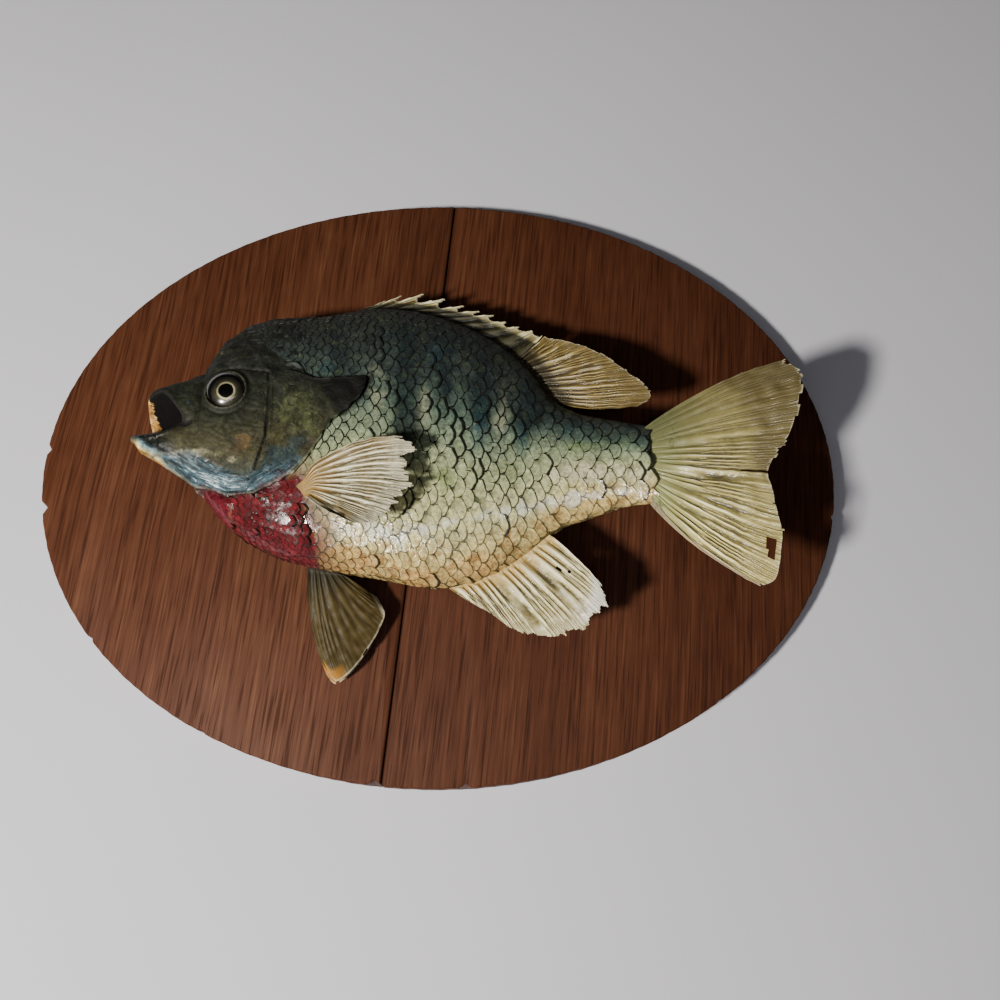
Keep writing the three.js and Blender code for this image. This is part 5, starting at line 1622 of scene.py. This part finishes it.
# %% [markdown]
# ## Stained wood
# The wood is a coarse red-brown one like mahogany: open pores show as dark dashes 0.3 to 0.6 mm wide and up
# to 20 mm long. The pattern is noise stretched along the grain, which runs with the joint and bends a
# little. A satin varnish has sunk into the pores, so they are rougher as well as darker.

# %% Grain, pores and worn edges
wood, tree, shader = new_material("stained_mahogany", IOR=1.4, Specular_IOR_Level=0.12)
place = add(tree, "TexCoord", out="Object")
upright = add(tree, "Mapping", place, (0.0, 0.0, 0.0), (0.0, -JOINT_LEAN, 0.0))
bend = add(tree, "TexNoise", upright, 0.0, MM_SCALE / 90, 1.0, out="Color", **NOISE_4D)
bend = add(tree, "VectorMath", bend, (0.5, 0.5, 0.5), operation="SUBTRACT")
bend = add(tree, "VectorMath", bend, (9 * MM, 0, 0), **TIMES)
upright = add(tree, "VectorMath", upright, bend, **PLUS)
layers = []
# Each layer of the grain: how wide and how long its marks are in mm, its detail and its seed.
GRAIN = ((16, 260, 3.0, 0.0), (2.2, 120, 3.0, 1.0), (0.45, 20, 2.0, 2.0), (0.32, 9, 1.0, 3.0))
for wide, long, detail, seed in GRAIN:
    stretched = add(tree, "Mapping", upright, None, None, (1 / (wide * MM), 1 / (wide * MM), 1 / (long * MM)))
    layers.append(add(tree, "TexNoise", stretched, seed, 0.5, detail, 0.6, **NOISE_4D))
boards, bands, grain, pores = layers
blotches = add(tree, "TexNoise", place, 4.0, MM_SCALE / 5, 4.0, 0.6, **NOISE_4D)
tone = add(tree, "Math", boards, 0.3, add(tree, "Math", bands, 0.16, **TIMES), **TIMES_PLUS)
tone = add(tree, "Math", grain, 0.5, tone, **TIMES_PLUS)
tone = add(tree, "Math", pores, 0.4, tone, **TIMES_PLUS)
tone = add(tree, "Math", blotches, 0.15, tone, **TIMES_PLUS)
# Painted shade: the wood is a little darker toward the right, away from the lamp at the left.
painted_falloff = add(tree, "MapRange", add(tree, "SeparateXYZ", place), -50 * MM, 140 * MM, 0.02, -0.1)
tone = add(tree, "Math", painted_falloff, tone, **PLUS)
STAIN = [(0.0, "#321b10"), (0.3, "#402316"), (0.5, "#4a2a1b"), (0.7, "#543322"), (1.0, "#69442f")]
stain = add(tree, "ValToRGB", add(tree, "MapRange", tone, 0.49, 1.03), stops=STAIN)
pore = add(tree, "Math", pores, 0.7, add(tree, "Math", grain, 0.4, **TIMES), **TIMES_PLUS)
pore = add(tree, "MapRange", pore, 0.5, 0.42, 0.0, 0.42, **SOFT)
stain = add(tree, "Mix", pore, stain, "#27130a", **COLOURS)
# Dirt has gathered in the joint.
from_joint = add(tree, "Mapping", place, (-JOINT_MIDDLE * MM * math.cos(JOINT_LEAN), 0.0, 0.0),
                 (0.0, -JOINT_LEAN, 0.0))
from_joint = add(tree, "Math", add(tree, "SeparateXYZ", from_joint), operation="ABSOLUTE")
near_joint = add(tree, "MapRange", from_joint, 1.3 * MM, 0.3 * MM, 0.0, 0.6, **SOFT)
stain = add(tree, "Mix", near_joint, stain, "#1c0f09", **COLOURS)
tree.links.new(stain, shader.inputs["Base Color"])
tree.links.new(add(tree, "MapRange", pore, 0.0, 0.6, 0.52, 0.68), shader.inputs["Roughness"])
relief = add(tree, "Math", pore, -1.6, grain, **TIMES_PLUS)
bump = add(tree, "Bump", 0.5, 0.12 * MM)
tree.links.new(relief, bump.node.inputs["Height"])
tree.links.new(bump, shader.inputs["Normal"])
for node, piece in planks.items():
    finished(piece, wood, "board_wood", node)
